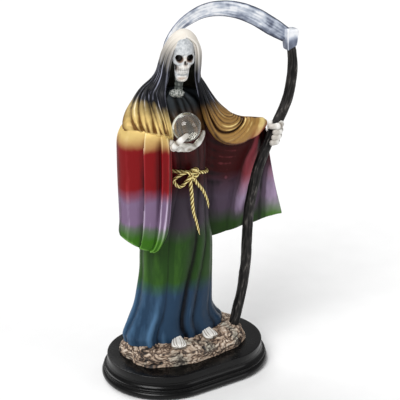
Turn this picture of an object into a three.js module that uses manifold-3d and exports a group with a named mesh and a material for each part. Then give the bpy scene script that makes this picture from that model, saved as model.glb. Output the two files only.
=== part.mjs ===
// A painted figure of a robed, hooded skeleton on a plinth, with a scythe and a crystal ball.
// Millimetres, +Z up. The origin is the middle of the plinth's underside; the figure looks along -Y.
import * as THREE from 'three';
import { mergeVertices } from 'three/addons/utils/BufferGeometryUtils.js';
import Module from 'manifold-3d';

// Driving dimensions
const plinthLength = 143;
const plinthWidth = 100;
const plinthHeight = 19;
const footBandHeight = 6.6;
const grooveHeight = 1.6;
const grooveDepth = 2.6;
const topPlateHeight = 6;
const topPlateInset = 4.6;
const plinthRounding = 1.4;
const figureHeight = 267;
const ballDiameter = 22;
const handleDiameter = 8.6;
const bladeThickness = 3.2;
const fitGap = 0.3;

// The carving is laid out on a figure 267 units tall, measured from the rock's underside, and every
// place and radius in it is a share of the figure's own height.
const layoutHeight = 267;
const unit = figureHeight / layoutHeight;
const rockUnderside = plinthHeight + fitGap;

const wasm = await Module();
wasm.setup();

// A place of the carving's layout, in millimetres
function place(x, y, z) {
  return new THREE.Vector3(x * unit, y * unit, rockUnderside + z * unit);
}

// Smooth values between rows of [position, value, ...], held at the first and the last row
function between(rows, at) {
  const last = rows.length - 1;
  let i = 0;
  while (i < last - 1 && at > rows[i + 1][0]) i += 1;
  const span = rows[i + 1][0] - rows[i][0];
  const f = Math.min(Math.max((at - rows[i][0]) / span, 0), 1);
  const slope = (row, k) => {
    const before = rows[Math.max(row - 1, 0)];
    const after = rows[Math.min(row + 1, last)];
    return (after[k] - before[k]) / (after[0] - before[0]);
  };
  const rise = f * f * (3 - 2 * f);
  return rows[i].slice(1).map((value, k) =>
    value * (1 - rise) + rows[i + 1][k + 1] * rise
    + span * f * (1 - f) * ((1 - f) * slope(i, k + 1) - f * slope(i + 1, k + 1)));
}

// A closed solid from a list of triangles' corners, with its faces turned outward
function solid(positions, index) {
  const geometry = new THREE.BufferGeometry();
  geometry.setAttribute('position', new THREE.Float32BufferAttribute(positions, 3));
  geometry.setIndex(index);
  const merged = mergeVertices(geometry, 1e-4);
  const vertices = merged.getAttribute('position').array;
  const corners = Array.from(merged.getIndex().array);
  const triangles = [];
  for (let i = 0; i < corners.length; i += 3) {
    const [a, b, c] = corners.slice(i, i + 3);
    if (a !== b && b !== c && c !== a) triangles.push(a, b, c);
  }
  const point = (n) => new THREE.Vector3().fromArray(vertices, 3 * n);
  let volume = 0;
  for (let i = 0; i < triangles.length; i += 3) {
    const [a, b, c] = triangles.slice(i, i + 3).map(point);
    volume += a.dot(b.cross(c));
  }
  if (volume < 0) triangles.reverse();
  const mesh = new wasm.Mesh({ numProp: 3, vertProperties: vertices, triVerts: Uint32Array.from(triangles) });
  return new wasm.Manifold(mesh);
}

// A solid through closed rings of points, with a fan over each end
function loft(rings) {
  const count = rings[0].length;
  const positions = rings.flat().flatMap((p) => p.toArray());
  const index = [];
  const at = (row, column) => row * count + (column % count);
  for (let row = 0; row + 1 < rings.length; row += 1) {
    for (let k = 0; k < count; k += 1) {
      index.push(at(row, k), at(row, k + 1), at(row + 1, k + 1));
      index.push(at(row, k), at(row + 1, k + 1), at(row + 1, k));
    }
  }
  for (const row of [0, rings.length - 1]) {
    const middle = new THREE.Vector3();
    rings[row].forEach((p) => middle.addScaledVector(p, 1 / count));
    const centre = positions.length / 3;
    positions.push(...middle.toArray());
    for (let k = 0; k < count; k += 1) {
      if (row === 0) index.push(centre, at(row, k + 1), at(row, k));
      else index.push(centre, at(row, k), at(row, k + 1));
    }
  }
  return solid(positions, index);
}

// A solid between two sheets of points with the same rows and columns, sewn along their edges
function slab(front, back) {
  const rows = front.length;
  const columns = front[0].length;
  const positions = [front, back].flat(2).flatMap((p) => p.toArray());
  const at = (side, row, column) => (side * rows + row) * columns + column;
  const index = [];
  const quad = (a, b, c, d) => index.push(a, b, c, a, c, d);
  for (let r = 0; r + 1 < rows; r += 1) {
    for (let c = 0; c + 1 < columns; c += 1) {
      quad(at(0, r, c), at(0, r, c + 1), at(0, r + 1, c + 1), at(0, r + 1, c));
      quad(at(1, r, c), at(1, r + 1, c), at(1, r + 1, c + 1), at(1, r, c + 1));
    }
    quad(at(0, r, 0), at(0, r + 1, 0), at(1, r + 1, 0), at(1, r, 0));
    quad(at(0, r, columns - 1), at(1, r, columns - 1), at(1, r + 1, columns - 1), at(0, r + 1, columns - 1));
  }
  for (let c = 0; c + 1 < columns; c += 1) {
    quad(at(0, 0, c), at(1, 0, c), at(1, 0, c + 1), at(0, 0, c + 1));
    quad(at(0, rows - 1, c), at(0, rows - 1, c + 1), at(1, rows - 1, c + 1), at(1, rows - 1, c));
  }
  return solid(positions, index);
}

// A round limb along a smooth curve of places; radius is a function of the share of its length
function limb(points, radius, sides = 8, steps = 10) {
  const curve = new THREE.CatmullRomCurve3(points);
  const frames = curve.computeFrenetFrames(steps, false);
  const rings = [];
  for (let i = 0; i <= steps; i += 1) {
    const centre = curve.getPointAt(i / steps);
    const size = radius(i / steps);
    const ring = [];
    for (let k = 0; k < sides; k += 1) {
      const angle = (2 * Math.PI * k) / sides;
      ring.push(centre.clone()
        .addScaledVector(frames.normals[i], size * Math.cos(angle))
        .addScaledVector(frames.binormals[i], size * Math.sin(angle)));
    }
    rings.push(ring);
  }
  return loft(rings);
}

// A three.js geometry as a solid
function closed(geometry) {
  const bare = geometry.clone();
  bare.deleteAttribute('normal');
  bare.deleteAttribute('uv');
  const merged = mergeVertices(bare, 1e-4);
  return solid(Array.from(merged.getAttribute('position').array), Array.from(merged.getIndex().array));
}

// A rounded lump of the carving, with its half sizes along X, Y and Z, turned about Z in degrees
function lump(x, y, z, halfX, halfY, halfZ, turn = 0, detail = 1) {
  const sphere = new THREE.IcosahedronGeometry(1, detail);
  sphere.scale(halfX * unit, halfY * unit, halfZ * unit);
  sphere.rotateZ(THREE.MathUtils.degToRad(turn));
  sphere.translate(...place(x, y, z).toArray());
  return closed(sphere);
}

function joined(solids) {
  return solids.reduce((sum, next) => sum.add(next));
}

// One named mesh from a solid
function meshOf(name, body, material) {
  const { vertProperties, triVerts } = body.getMesh();
  const geometry = new THREE.BufferGeometry();
  geometry.setAttribute('position', new THREE.BufferAttribute(vertProperties, 3));
  geometry.setIndex(new THREE.BufferAttribute(triVerts, 1));
  geometry.computeVertexNormals();
  const mesh = new THREE.Mesh(geometry, material);
  mesh.name = name;
  return mesh;
}

// Points round an oval whose corners are squarer the higher its power is
function ovalRing({ x, y, z, halfLength, halfWidth, turn = 0, power = 2, lean = 0 }, count, swell = () => 0) {
  const ring = [];
  const cosine = Math.cos(THREE.MathUtils.degToRad(turn));
  const sine = Math.sin(THREE.MathUtils.degToRad(turn));
  for (let k = 0; k < count; k += 1) {
    const angle = (2 * Math.PI * k) / count;
    const c = Math.cos(angle);
    const s = Math.sin(angle);
    const reach = (Math.abs(c) ** power + Math.abs(s) ** power) ** (-1 / power);
    const grown = 1 + swell(angle);
    const along = halfLength * reach * c * grown;
    const across = halfWidth * reach * s * grown;
    ring.push(place(x + along * cosine - across * sine, y + along * sine + across * cosine, z + lean * along));
  }
  return ring;
}

// Plinth: a stadium outline with a moulded edge

function stadiumRing(inset, height, arcSteps = 12) {
  const radius = plinthWidth / 2 - inset;
  const reach = (plinthLength - plinthWidth) / 2;
  const ring = [];
  for (const side of [1, -1]) {
    for (let k = 0; k <= arcSteps; k += 1) {
      const angle = (Math.PI * k) / arcSteps - Math.PI / 2;
      ring.push(new THREE.Vector3(side * (reach + radius * Math.cos(angle)), side * radius * Math.sin(angle), height));
    }
  }
  return ring;
}

function plinthBody() {
  const plateFoot = plinthHeight - topPlateHeight;
  const grooveTop = footBandHeight + grooveHeight;
  const edge = [
    [plinthRounding, 0],
    [plinthRounding * 0.3, plinthRounding * 0.4],
    [0, plinthRounding],
    [0, footBandHeight - 2 * plinthRounding],
    [plinthRounding * 0.6, footBandHeight - plinthRounding * 0.7],
    [grooveDepth, footBandHeight],
    [grooveDepth, grooveTop],
  ];
  const coveSteps = 4;
  for (let k = 1; k <= coveSteps; k += 1) {
    const angle = (Math.PI / 2) * (k / coveSteps);
    edge.push([
      grooveDepth + (topPlateInset + 1 - grooveDepth) * Math.sin(angle),
      grooveTop + (plateFoot - grooveTop) * (1 - Math.cos(angle)),
    ]);
  }
  edge.push([topPlateInset, plateFoot + 0.6]);
  edge.push([topPlateInset, plinthHeight - plinthRounding * 0.5]);
  edge.push([topPlateInset + plinthRounding * 0.5, plinthHeight]);
  return loft(edge.map(([inset, height]) => stadiumRing(inset, height)));
}

// Rock: a low wrinkled mound

const rockLayers = [
  // height, share of the footprint
  [0, 0.985],
  [2.5, 1.0],
  [6, 0.985],
  [9, 0.94],
  [11.5, 0.86],
  [13, 0.74],
  [13.6, 0.5],
];

function rockBody() {
  const rings = rockLayers.map(([height, share]) => ovalRing(
    { x: 0, y: 3, z: height, halfLength: 54 * share, halfWidth: 36 * share, power: 2.5 },
    40,
    (angle) => (height === 0 ? 0 : 0.02 * Math.sin(7 * angle + height) + 0.012 * Math.sin(17 * angle - height)),
  ));
  return loft(rings);
}

// Robe: a floor-long gown gathered at the waist

const robeRows = [
  // height, middle x, middle y, half length, half width
  [12, -5, 9, 45.4, 25],
  [17, -5.8, 9, 45.6, 25.2],
  [22, -7.2, 8.8, 42.6, 24.8],
  [28, -7.8, 8.4, 39.2, 24.4],
  [35, -7.4, 7.8, 36.4, 24],
  [45, -6.1, 7.4, 34.3, 23.6],
  [57, -5.2, 7, 33, 23.2],
  [72, -4.2, 6.6, 32.2, 22.6],
  [90, -4, 6.2, 31.8, 22],
  [108, -3.8, 5.8, 28.5, 20.8],
  [128, -1.8, 4.8, 24.2, 18.4],
  [145, 0.5, 3.2, 20, 15.5],
  [154, 1.5, 2.6, 18.2, 14],
  [165, 1, 2.6, 19.5, 15],
  [185, -2, 2.6, 22, 16.5],
  [203, -6, 2.6, 25, 16],
  [218, -8, 2.6, 20, 12],
];

const robeFolds = 9;

function robeFold(angle, height) {
  const depth = 0.09 * (1 - THREE.MathUtils.smoothstep(height, 20, 190)) + 0.015;
  return -depth * (0.5 - 0.5 * Math.cos(robeFolds * angle + 0.6));
}

function robeBody() {
  const rings = [];
  for (const [height] of robeRows) {
    const [x, y, halfLength, halfWidth] = between(robeRows, height);
    rings.push(ovalRing({ x, y, z: height, halfLength, halfWidth, power: 2.1 }, 36,
      (angle) => robeFold(angle, height)));
  }
  return loft(rings);
}

// Cloak: hood and shoulders, the right sleeve, the swag of the left sleeve and the hanging sheet

const mantleTurn = -18;
const mantleRows = [
  // height, middle x, middle y, half length, half width, lean
  [192, -2.6, 5, 40, 15, -0.1],
  [198, -3.6, 5, 39.6, 17, -0.12],
  [204, -5, 5, 37, 17.5, -0.14],
  [211, -6, 5, 33, 18, -0.14],
  [217, -5.3, 5, 28.8, 18, -0.12],
  [225, -4.2, 4.5, 21, 18, -0.08],
  [232, -2.7, 4, 17.6, 18, -0.04],
  [241, -1.1, 3.5, 16.6, 17.5, 0],
  [249, -0.4, 2.5, 15.4, 16, 0],
  [257, -0.2, 1, 12, 13.5, 0],
  [263, 0.4, 0.5, 7.8, 9.5, 0],
  [266.4, 0.8, 0.5, 3, 4, 0],
];

function mantleBody() {
  const rings = mantleRows.map(([z, x, y, halfLength, halfWidth, lean]) => ovalRing(
    { x, y, z, halfLength, halfWidth, turn: mantleTurn, lean },
    30,
    (angle) => 0.03 * Math.cos(12 * angle) * (1 - THREE.MathUtils.smoothstep(z, 215, 250)),
  ));
  return loft(rings);
}

// The hollow of the hood opens toward the face's side
const headTurn = -20;
const hollowRows = [
  // height, depth of the middle before the head's axis, half length, half width
  [214, 12, 8.5, 9],
  [222, 12, 10.5, 12],
  [232, 12, 12, 15],
  [243, 12.5, 12.6, 16],
  [252, 13, 11.4, 15],
  [259, 13.5, 8, 11],
  [264, 14, 3, 6],
];

// A place before the head's axis: to its left, before it, at a height
function headPlace(left, before, height) {
  const turn = THREE.MathUtils.degToRad(headTurn);
  return [
    -3 + left * Math.cos(turn) + before * Math.sin(turn),
    -1 + left * Math.sin(turn) - before * Math.cos(turn),
    height,
  ];
}

function hoodHollow() {
  const rings = hollowRows.map(([height, before, halfLength, halfWidth]) => {
    const [x, y] = headPlace(0.5, before, height);
    return ovalRing({ x, y, z: height, halfLength, halfWidth, turn: headTurn }, 18);
  });
  return loft(rings);
}

const sleeveTurn = 123;
const sleeveRows = [
  // height, middle x, middle y, half length, half thickness, lean
  [103, -46, -3.4, 16, 6.5, 0.26],
  [106, -45.2, -5, 18.6, 8, 0.24],
  [115, -44.2, -6.9, 20.6, 8.7, 0.16],
  [130, -43.2, -8.5, 21.8, 9.2, 0.06],
  [156, -42.5, -9, 22.1, 9.4, 0],
  [184, -42.5, -9, 22.1, 9.9, 0],
  [196, -42, -8.6, 21.2, 9.6, 0],
  [202, -40.4, -7, 18.6, 8.4, 0],
  [206, -37, -4, 13, 6, 0],
];

function sleeveBody() {
  const rings = sleeveRows.map(([z, x, y, halfLength, halfWidth, lean]) => ovalRing(
    { x, y, z, halfLength, halfWidth, lean, turn: sleeveTurn, power: 2.4 },
    26,
    (angle) => 0.02 * Math.cos(6 * angle + 1) * (1 - THREE.MathUtils.smoothstep(z, 110, 200)),
  ));
  const upperArm = limb([place(-20, 6, 214), place(-37, 7, 206), place(-45, 4, 189)],
    (share) => (12.4 - 2.4 * share) * unit, 12, 5);
  return loft(rings).add(upperArm);
}

const swagRows = [
  // x, top height, lowest height, middle y, half thickness
  [4, 224, 199, -8, 7],
  [12, 226, 187, -9, 8],
  [22, 212.5, 177, -9, 8],
  [32, 201.4, 172, -8.5, 8],
  [44, 192.3, 171, -8, 7.5],
  [56, 188.8, 172, -8, 6.5],
  [66, 186, 175, -8, 5],
  [72, 183, 177, -8, 3],
];

function swagBody() {
  const rings = swagRows.map(([x, top, low, y, thickness]) => {
    const ring = [];
    for (let k = 0; k < 20; k += 1) {
      const angle = (2 * Math.PI * k) / 20;
      const height = (top + low) / 2 + ((top - low) / 2) * Math.sin(angle);
      ring.push(place(x, y + thickness * Math.cos(angle), height));
    }
    return ring;
  });
  return loft(rings);
}

const sheetTop = [
  // share of its run, x, y, height
  [0, -47, 9, 188],
  [0.14, -38, 18, 200],
  [0.28, -22, 23, 212],
  [0.4, -4, 22, 218],
  [0.52, 14, 14, 210],
  [0.64, 30, 5, 198],
  [0.76, 46, 0, 187],
  [0.88, 60, -3, 181],
  [1, 76.3, -2.2, 173],
];
const sheetHem = [
  [0, -46.5, 7, 105],
  [0.14, -41, 22, 101],
  [0.28, -22, 33, 95],
  [0.4, 0, 33, 88],
  [0.52, 20, 26, 82],
  [0.64, 37, 17, 83.5],
  [0.76, 56, 10, 88],
  [0.88, 77.5, 6, 91.5],
  [1, 98, 5, 93.5],
];
const sheetThickness = 4;
const sheetFolds = 8;

function sheetBody() {
  const front = [];
  const back = [];
  const rows = 6;
  const columns = 32;
  for (let r = 0; r <= rows; r += 1) {
    const fall = r / rows;
    const middle = [];
    for (let c = 0; c <= columns; c += 1) {
      const top = between(sheetTop, c / columns);
      const hem = between(sheetHem, c / columns);
      middle.push(top.map((value, k) => value + (hem[k] - value) * fall));
    }
    const line = (side) => middle.map(([x, y, z], c) => {
      const before = middle[Math.max(c - 1, 0)];
      const after = middle[Math.min(c + 1, columns)];
      const run = Math.hypot(after[0] - before[0], after[1] - before[1]);
      const across = [(after[1] - before[1]) / run, -(after[0] - before[0]) / run];
      const wave = 2 * fall * Math.sin(2 * Math.PI * sheetFolds * (c / columns)) + 3 * Math.sin(Math.PI * fall);
      const shift = side * sheetThickness / 2 - wave;
      return place(x + across[0] * shift, y + across[1] * shift, z);
    });
    front.push(line(1));
    back.push(line(-1));
  }
  return slab(front, back);
}

// Head: a skull with deep sockets on a thin neck with a collar of bone lumps

const skullTurn = -26;
const skullRows = [
  // height, middle before the axis, half width, half depth
  [232.6, 9.5, 3.4, 3.2],
  [234.5, 9.3, 5.6, 5],
  [238, 8.6, 6.3, 6],
  [242, 8, 6.6, 6.6],
  [245, 6.6, 8.2, 7.6],
  [249, 4.6, 8.8, 9],
  [254, 3.2, 9.2, 10.2],
  [259, 2.6, 8.6, 10],
  [262.5, 2, 6.6, 8],
  [264.6, 1.6, 3.4, 4.4],
];

function skullBody() {
  const rings = skullRows.map(([height, before, halfWidth, halfDepth]) => {
    const [x, y] = headPlace(0, before, height);
    return ovalRing({ x, y, z: height, halfLength: halfWidth, halfWidth: halfDepth, turn: skullTurn }, 18);
  });
  const sockets = [-1, 1].map((side) => {
    const [x, y, z] = headPlace(side * 4.1, 14, 249);
    return lump(x, y, z, 2.7, 4, 2.9, skullTurn);
  });
  return sockets.reduce((skull, socket) => skull.subtract(socket), loft(rings));
}

function neckBody() {
  const foot = place(...headPlace(-1.5, 7, 208));
  const head = place(...headPlace(0, 6, 240));
  const neck = limb([foot, foot.clone().lerp(head, 0.5), head], () => 3.6 * unit, 8, 2);
  const lumps = [-4, -1.4, 1.4, 4].map((left) => {
    const [x, y, z] = headPlace(left - 1.5, 9.5 - Math.abs(left) * 0.4, 218.5);
    return lump(x, y, z, 2.8, 3, 3.6, 0, 0);
  });
  return joined([neck, ...lumps]);
}

// Right hand: an open palm under the crystal ball, which rests on its lowest place

const palm = [-19.5, -33, 191.2];

function ballMiddle() {
  return place(...palm).add(new THREE.Vector3(0, 0, ballDiameter / 2));
}

function rightHandBody() {
  const [x, y, z] = palm;
  const heel = lump(x - 4, y, z - 2.5, 12, 8, 5);
  const wrist = limb([place(x - 20, y + 8, z + 4), place(x - 13, y + 4, z), place(x - 5, y, z - 2)],
    () => 5 * unit, 8, 4);
  const fingers = [-5.5, -1.8, 1.8, 5.5].map((side) => limb([
    place(x + 2, y + side, z - 3.4),
    place(x + 9, y + side * 0.9, z - 0.5),
    place(x + 14, y + side * 0.7, z + 5),
    place(x + 16, y + side * 0.5, z + 10.5),
  ], (share) => (2.1 - 0.6 * share) * unit, 6, 4));
  const thumb = limb([
    place(x - 11, y - 3, z - 2),
    place(x - 7, y - 9, z + 3),
    place(x + 1, y - 12, z + 9),
  ], (share) => (2.3 - 0.6 * share) * unit, 6, 4);
  return joined([heel, wrist, ...fingers, thumb]);
}

// Left hand: closed round the scythe's handle

const fist = [79.5, -6.5, 169];

function leftHandBody() {
  const [x, y, z] = fist;
  const fingers = [0, 1, 2, 3].map((n) =>
    lump(x - 1.4 * n + 2.4, y - 1.5, z + 5.6 - 4.2 * n, 8.2 - 0.3 * n, 7.4, 2.7, 10));
  const back = lump(x - 4, y + 3, z, 6, 6, 9);
  const thumb = limb([place(x + 3, y - 6, z + 7.5), place(x - 3, y - 7.5, z + 8), place(x - 9, y - 7, z + 7)],
    () => 2.2 * unit, 6, 3);
  const wrist = limb([place(x - 16, y, z + 10), place(x - 9, y + 1, z + 5), place(x - 3, y + 2, z + 1)],
    () => 4.8 * unit, 8, 4);
  return joined([...fingers, back, thumb, wrist]);
}

// Feet: two bony fronts of feet under the hem, each with five toes

const feet = [
  // x, y, height, turn
  [-17, -16, 13.5, -24],
  [10, -16, 13.5, -8],
];

function footBody([x, y, z, turn]) {
  const angle = THREE.MathUtils.degToRad(turn);
  const toes = [-2, -1, 0, 1, 2].map((n) => {
    const left = n * 2.5;
    const before = 6.5 - Math.abs(n) * 0.7;
    return lump(x + left * Math.cos(angle) + before * Math.sin(angle),
      y + left * Math.sin(angle) - before * Math.cos(angle), z, 2, 5.6, 3, turn, 0);
  });
  return joined([lump(x, y, z + 0.5, 6.6, 7.5, 4.2, turn), ...toes]);
}

// Belt: a twisted rope round the waist, tied before it with a bow's loop and two tails

const beltHeight = 153;
const ropeRadius = 1.9;
const beltSlack = 0.8;
const knotAngle = -115;
const knotBefore = 4.7;

// The knot sits on the belt's front, to the figure's right of its middle
function knotPlace() {
  const [x, y, halfLength, halfWidth] = between(robeRows, beltHeight);
  const angle = THREE.MathUtils.degToRad(knotAngle);
  return [
    x + (halfLength + beltSlack) * Math.cos(angle),
    y + (halfWidth + beltSlack) * Math.sin(angle) - knotBefore,
    beltHeight - 1,
  ];
}

function beltBody() {
  const [x, y, halfLength, halfWidth] = between(robeRows, beltHeight);
  const ring = ovalRing(
    { x, y, z: beltHeight, halfLength: halfLength + beltSlack, halfWidth: halfWidth + beltSlack }, 24);
  const curve = new THREE.CatmullRomCurve3(ring, true);
  const steps = 24;
  const frames = curve.computeFrenetFrames(steps, true);
  const sides = 6;
  const positions = [];
  const index = [];
  for (let i = 0; i < steps; i += 1) {
    const centre = curve.getPointAt(i / steps);
    for (let k = 0; k < sides; k += 1) {
      const angle = (2 * Math.PI * k) / sides;
      const point = centre.clone()
        .addScaledVector(frames.normals[i], ropeRadius * unit * Math.cos(angle))
        .addScaledVector(frames.binormals[i], ropeRadius * unit * Math.sin(angle));
      positions.push(...point.toArray());
      const at = (row, column) => (row % steps) * sides + (column % sides);
      index.push(at(i, k), at(i, k + 1), at(i + 1, k + 1), at(i, k), at(i + 1, k + 1), at(i + 1, k));
    }
  }
  return solid(positions, index);
}

function bowBody() {
  const [x, y, z] = knotPlace();
  const rope = (points, steps) => limb(points.map((p) => place(x + p[0], y + p[1], z + p[2])),
    () => ropeRadius * unit, 6, steps);
  const loop = rope([[0, 0, 0], [-6, -1.5, 1], [-11, -1, -2], [-12, -0.5, -7], [-8, -1.5, -10], [-4, -1.5, -7], [0, 0, -1]], 10);
  const longTail = rope([[0, 0.5, -1], [1, -1.5, -14], [3.5, -2.5, -30], [7, -3.5, -44], [10, -4, -54]], 6);
  const shortTail = rope([[1, 0.5, -1], [7, -0.5, -9], [11, -0.5, -18], [14.5, 0, -33]], 5);
  return joined([lump(x, y + 1.8, z, 3.4, 4.8, 3.8), loop, longTail, shortTail]);
}

// Scythe: a bent handle of rough wood, a faceted collar and a curved blade. The handle runs through the
// closed left hand and stands in a socket of the rock; both are cut with the same clearance.

const handlePath = [
  [41.5, -10, 9], [45.7, -9.8, 23.5], [50.8, -9.4, 44], [54.3, -8.9, 68], [55.4, -8.6, 91], [58.2, -8.1, 114],
  [65.3, -7.6, 140], [74, -7.2, 159], [83.9, -6.6, 175.5], [91.8, -5.5, 186.5], [97.3, -4.5, 197.5],
  [101.6, -3, 212], [103, -1.8, 224], [101.8, -0.6, 238],
];

const handleSides = 10;
const handleSteps = 28;

function handleBody(extra = 0) {
  const points = handlePath.map((p) => place(...p));
  points[0].z -= extra;
  const radius = handleDiameter / 2 + extra;
  return limb(points, () => radius, handleSides, handleSteps);
}

const bladeRows = [
  // share of its run, x, height of the middle line, width
  [0, 98.5, 246, 12],
  [0.12, 86, 254.4, 14.2],
  [0.25, 71, 264.4, 14],
  [0.4, 54.6, 271.5, 13.2],
  [0.53, 39.5, 274.2, 12.2],
  [0.66, 25.5, 272.8, 11],
  [0.78, 13, 267.2, 9.4],
  [0.88, 4.3, 260.5, 7.2],
  [0.95, -2.2, 253, 4.4],
  [1, -6, 246.5, 1],
];

function bladeBody() {
  const steps = 22;
  const rings = [];
  for (let i = 0; i <= steps; i += 1) {
    const share = i / steps;
    const [x, z, width] = between(bladeRows, share);
    const [nextX, nextZ] = between(bladeRows, Math.min(share + 0.01, 1));
    const [lastX, lastZ] = between(bladeRows, Math.max(share - 0.01, 0));
    const run = Math.hypot(nextX - lastX, nextZ - lastZ);
    const out = [-(nextZ - lastZ) / run, (nextX - lastX) / run].map((value) => -value);
    const y = 2 + (99 - x) * 0.175;
    const half = bladeThickness / 2;
    // spine outside, cutting edge inside
    const section = [[0.5, 0.55], [0.5, -0.55], [0.1, -1], [-0.5, -0.2], [-0.5, 0.2], [0.1, 1]];
    rings.push(section.map(([across, deep]) => place(x + out[0] * across * width, y, z + out[1] * across * width)
      .add(new THREE.Vector3(0, deep * half, 0))));
  }
  return loft(rings);
}

function collarBody() {
  const foot = place(101.4, -0.4, 235.5);
  const top = place(98.8, 1.4, 252);
  const widths = [5, 6.6, 7, 5.6];
  const rings = widths.map((width, n) => {
    const centre = foot.clone().lerp(top, n / (widths.length - 1));
    return [0, 1, 2, 3, 4, 5].map((k) => {
      const angle = (Math.PI * (k + 0.5)) / 3;
      return centre.clone().add(new THREE.Vector3(width * unit * Math.cos(angle), width * unit * Math.sin(angle), 0));
    });
  });
  return loft(rings);
}

function scytheBody() {
  return joined([handleBody(), collarBody(), bladeBody()]);
}

// The figure, cut for the handle and the ball

function figureBody() {
  const hood = mantleBody().subtract(hoodHollow());
  const carving = joined([
    rockBody(), robeBody(), hood, sleeveBody(), swagBody(), sheetBody(), skullBody(), neckBody(),
    rightHandBody(), leftHandBody(), ...feet.map(footBody), beltBody(), bowBody(),
  ]);
  const ballSeat = new THREE.IcosahedronGeometry(ballDiameter / 2 + fitGap, 3);
  ballSeat.translate(...ballMiddle().toArray());
  return carving.subtract(closed(ballSeat)).subtract(handleBody(fitGap));
}

function ballBody() {
  const sphere = new THREE.IcosahedronGeometry(ballDiameter / 2, 3);
  sphere.translate(...ballMiddle().toArray());
  return closed(sphere);
}

const blackPaint = new THREE.MeshStandardMaterial({ color: 0x0c0c0d, roughness: 0.35 });
const painted = new THREE.MeshStandardMaterial({ color: 0x7a2228, roughness: 0.4 });
const silverAndBark = new THREE.MeshStandardMaterial({ color: 0x3b3b3e, roughness: 0.5, metalness: 0.3 });
const crystal = new THREE.MeshStandardMaterial({ color: 0xe8eef0, roughness: 0.02, transparent: true, opacity: 0.35 });

const model = new THREE.Group();
model.add(meshOf('plinth', plinthBody(), blackPaint));
model.add(meshOf('figure', figureBody(), painted));
model.add(meshOf('scythe', scytheBody(), silverAndBark));
model.add(meshOf('crystal_ball', ballBody(), crystal));

export default model;
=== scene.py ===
import bmesh
import bpy
import numpy as np
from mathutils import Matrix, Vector


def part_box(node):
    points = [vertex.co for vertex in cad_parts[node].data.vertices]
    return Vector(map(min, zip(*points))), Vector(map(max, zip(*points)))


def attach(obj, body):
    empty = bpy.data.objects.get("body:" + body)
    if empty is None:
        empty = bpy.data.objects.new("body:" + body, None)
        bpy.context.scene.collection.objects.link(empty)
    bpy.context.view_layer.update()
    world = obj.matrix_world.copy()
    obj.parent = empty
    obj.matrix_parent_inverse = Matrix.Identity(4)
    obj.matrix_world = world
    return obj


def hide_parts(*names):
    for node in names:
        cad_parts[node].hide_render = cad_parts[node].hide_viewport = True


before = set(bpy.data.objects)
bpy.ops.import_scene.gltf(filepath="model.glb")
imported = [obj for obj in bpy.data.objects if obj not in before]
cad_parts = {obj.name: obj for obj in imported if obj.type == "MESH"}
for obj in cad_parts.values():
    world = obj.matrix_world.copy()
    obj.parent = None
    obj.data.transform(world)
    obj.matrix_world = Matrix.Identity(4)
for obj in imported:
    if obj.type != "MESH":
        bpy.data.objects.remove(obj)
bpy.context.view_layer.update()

# Camera
# It looks at the figure's front right from a little above, through a long lens, from 1.2 m away.
AZIMUTH = np.radians(-34.0)
ELEVATION = np.radians(22.5)
DISTANCE = 1.2
AIM = Vector((0.0095, -0.0079, 0.1471))
LENS = 136.8
SENSOR_WIDTH = 36

toward_camera = Vector((
    np.sin(AZIMUTH) * np.cos(ELEVATION),
    -np.cos(AZIMUTH) * np.cos(ELEVATION),
    np.sin(ELEVATION),
))
camera_data = bpy.data.cameras.new("camera")
camera_data.lens = LENS
camera_data.sensor_width = SENSOR_WIDTH
camera = bpy.data.objects.new("camera", camera_data)
camera.location = AIM + toward_camera * DISTANCE
camera.rotation_euler = (-toward_camera).to_track_quat("-Z", "Y").to_euler()
bpy.context.collection.objects.link(camera)
bpy.context.scene.camera = camera

# Studio
# A wide pale floor under an even white light, with a soft key lamp at the figure's right, a weaker lamp at
# its left and one behind it, all far away.
bpy.context.scene.view_settings.view_transform = "Standard"


def surface_mesh(name, grid, around=False, caps=(False, False), layers=None, weld=False):
    """A mesh from rows and columns of points in millimetres. around joins the last column to the first,
    caps close the first and the last row with a middle point, and weld merges points that meet. layers are
    values per point, kept as attributes. Faces look toward columns' direction crossed with rows' direction.
    """
    rows, columns = grid.shape[:2]
    index = np.arange(rows * columns).reshape(rows, columns)
    left = index if around else index[:, :-1]
    right = np.roll(index, -1, 1) if around else index[:, 1:]
    faces = np.stack([left[:-1], right[:-1], right[1:], left[1:]], -1).reshape(-1, 4).tolist()
    points = grid.reshape(-1, 3)
    values = {key: np.broadcast_to(value, (rows, columns)).reshape(-1)
              for key, value in (layers or {}).items()}
    for row, wanted in zip((0, rows - 1), caps):
        if wanted:
            ring, after = index[row], np.roll(index[row], -1)
            middle = np.full(columns, len(points))
            points = np.vstack([points, grid[row].mean(0)])
            values = {key: np.append(value, value[ring].mean()) for key, value in values.items()}
            order = [middle, after, ring] if row == 0 else [middle, ring, after]
            faces += np.stack(order, -1).tolist()
    mesh = bpy.data.meshes.new(name)
    mesh.from_pydata(points * 0.001, [], faces)
    for key, value in values.items():
        layer = mesh.attributes.new(key, "FLOAT", "POINT")
        layer.data.foreach_set("value", value.astype(np.float32))
    mesh.polygons.foreach_set("use_smooth", np.ones(len(mesh.polygons), bool))
    if weld:
        shell = bmesh.new()
        shell.from_mesh(mesh)
        bmesh.ops.remove_doubles(shell, verts=shell.verts, dist=2e-6)
        shell.to_mesh(mesh)
        shell.free()
    mesh.update()
    return mesh


def new_material(name):
    """An empty node material, and a function that adds a node to it with inputs set or linked."""
    material = bpy.data.materials.new(name)
    material.use_nodes = True
    tree = material.node_tree
    tree.nodes.clear()

    def node(kind, inputs=None, **settings):
        made = tree.nodes.new("ShaderNode" + kind)
        for key, value in settings.items():
            setattr(made, key, value)
        for key, value in (inputs or {}).items():
            if isinstance(value, bpy.types.NodeSocket):
                tree.links.new(value, made.inputs[key])
            else:
                made.inputs[key].default_value = value
        return made

    return material, node


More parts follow.
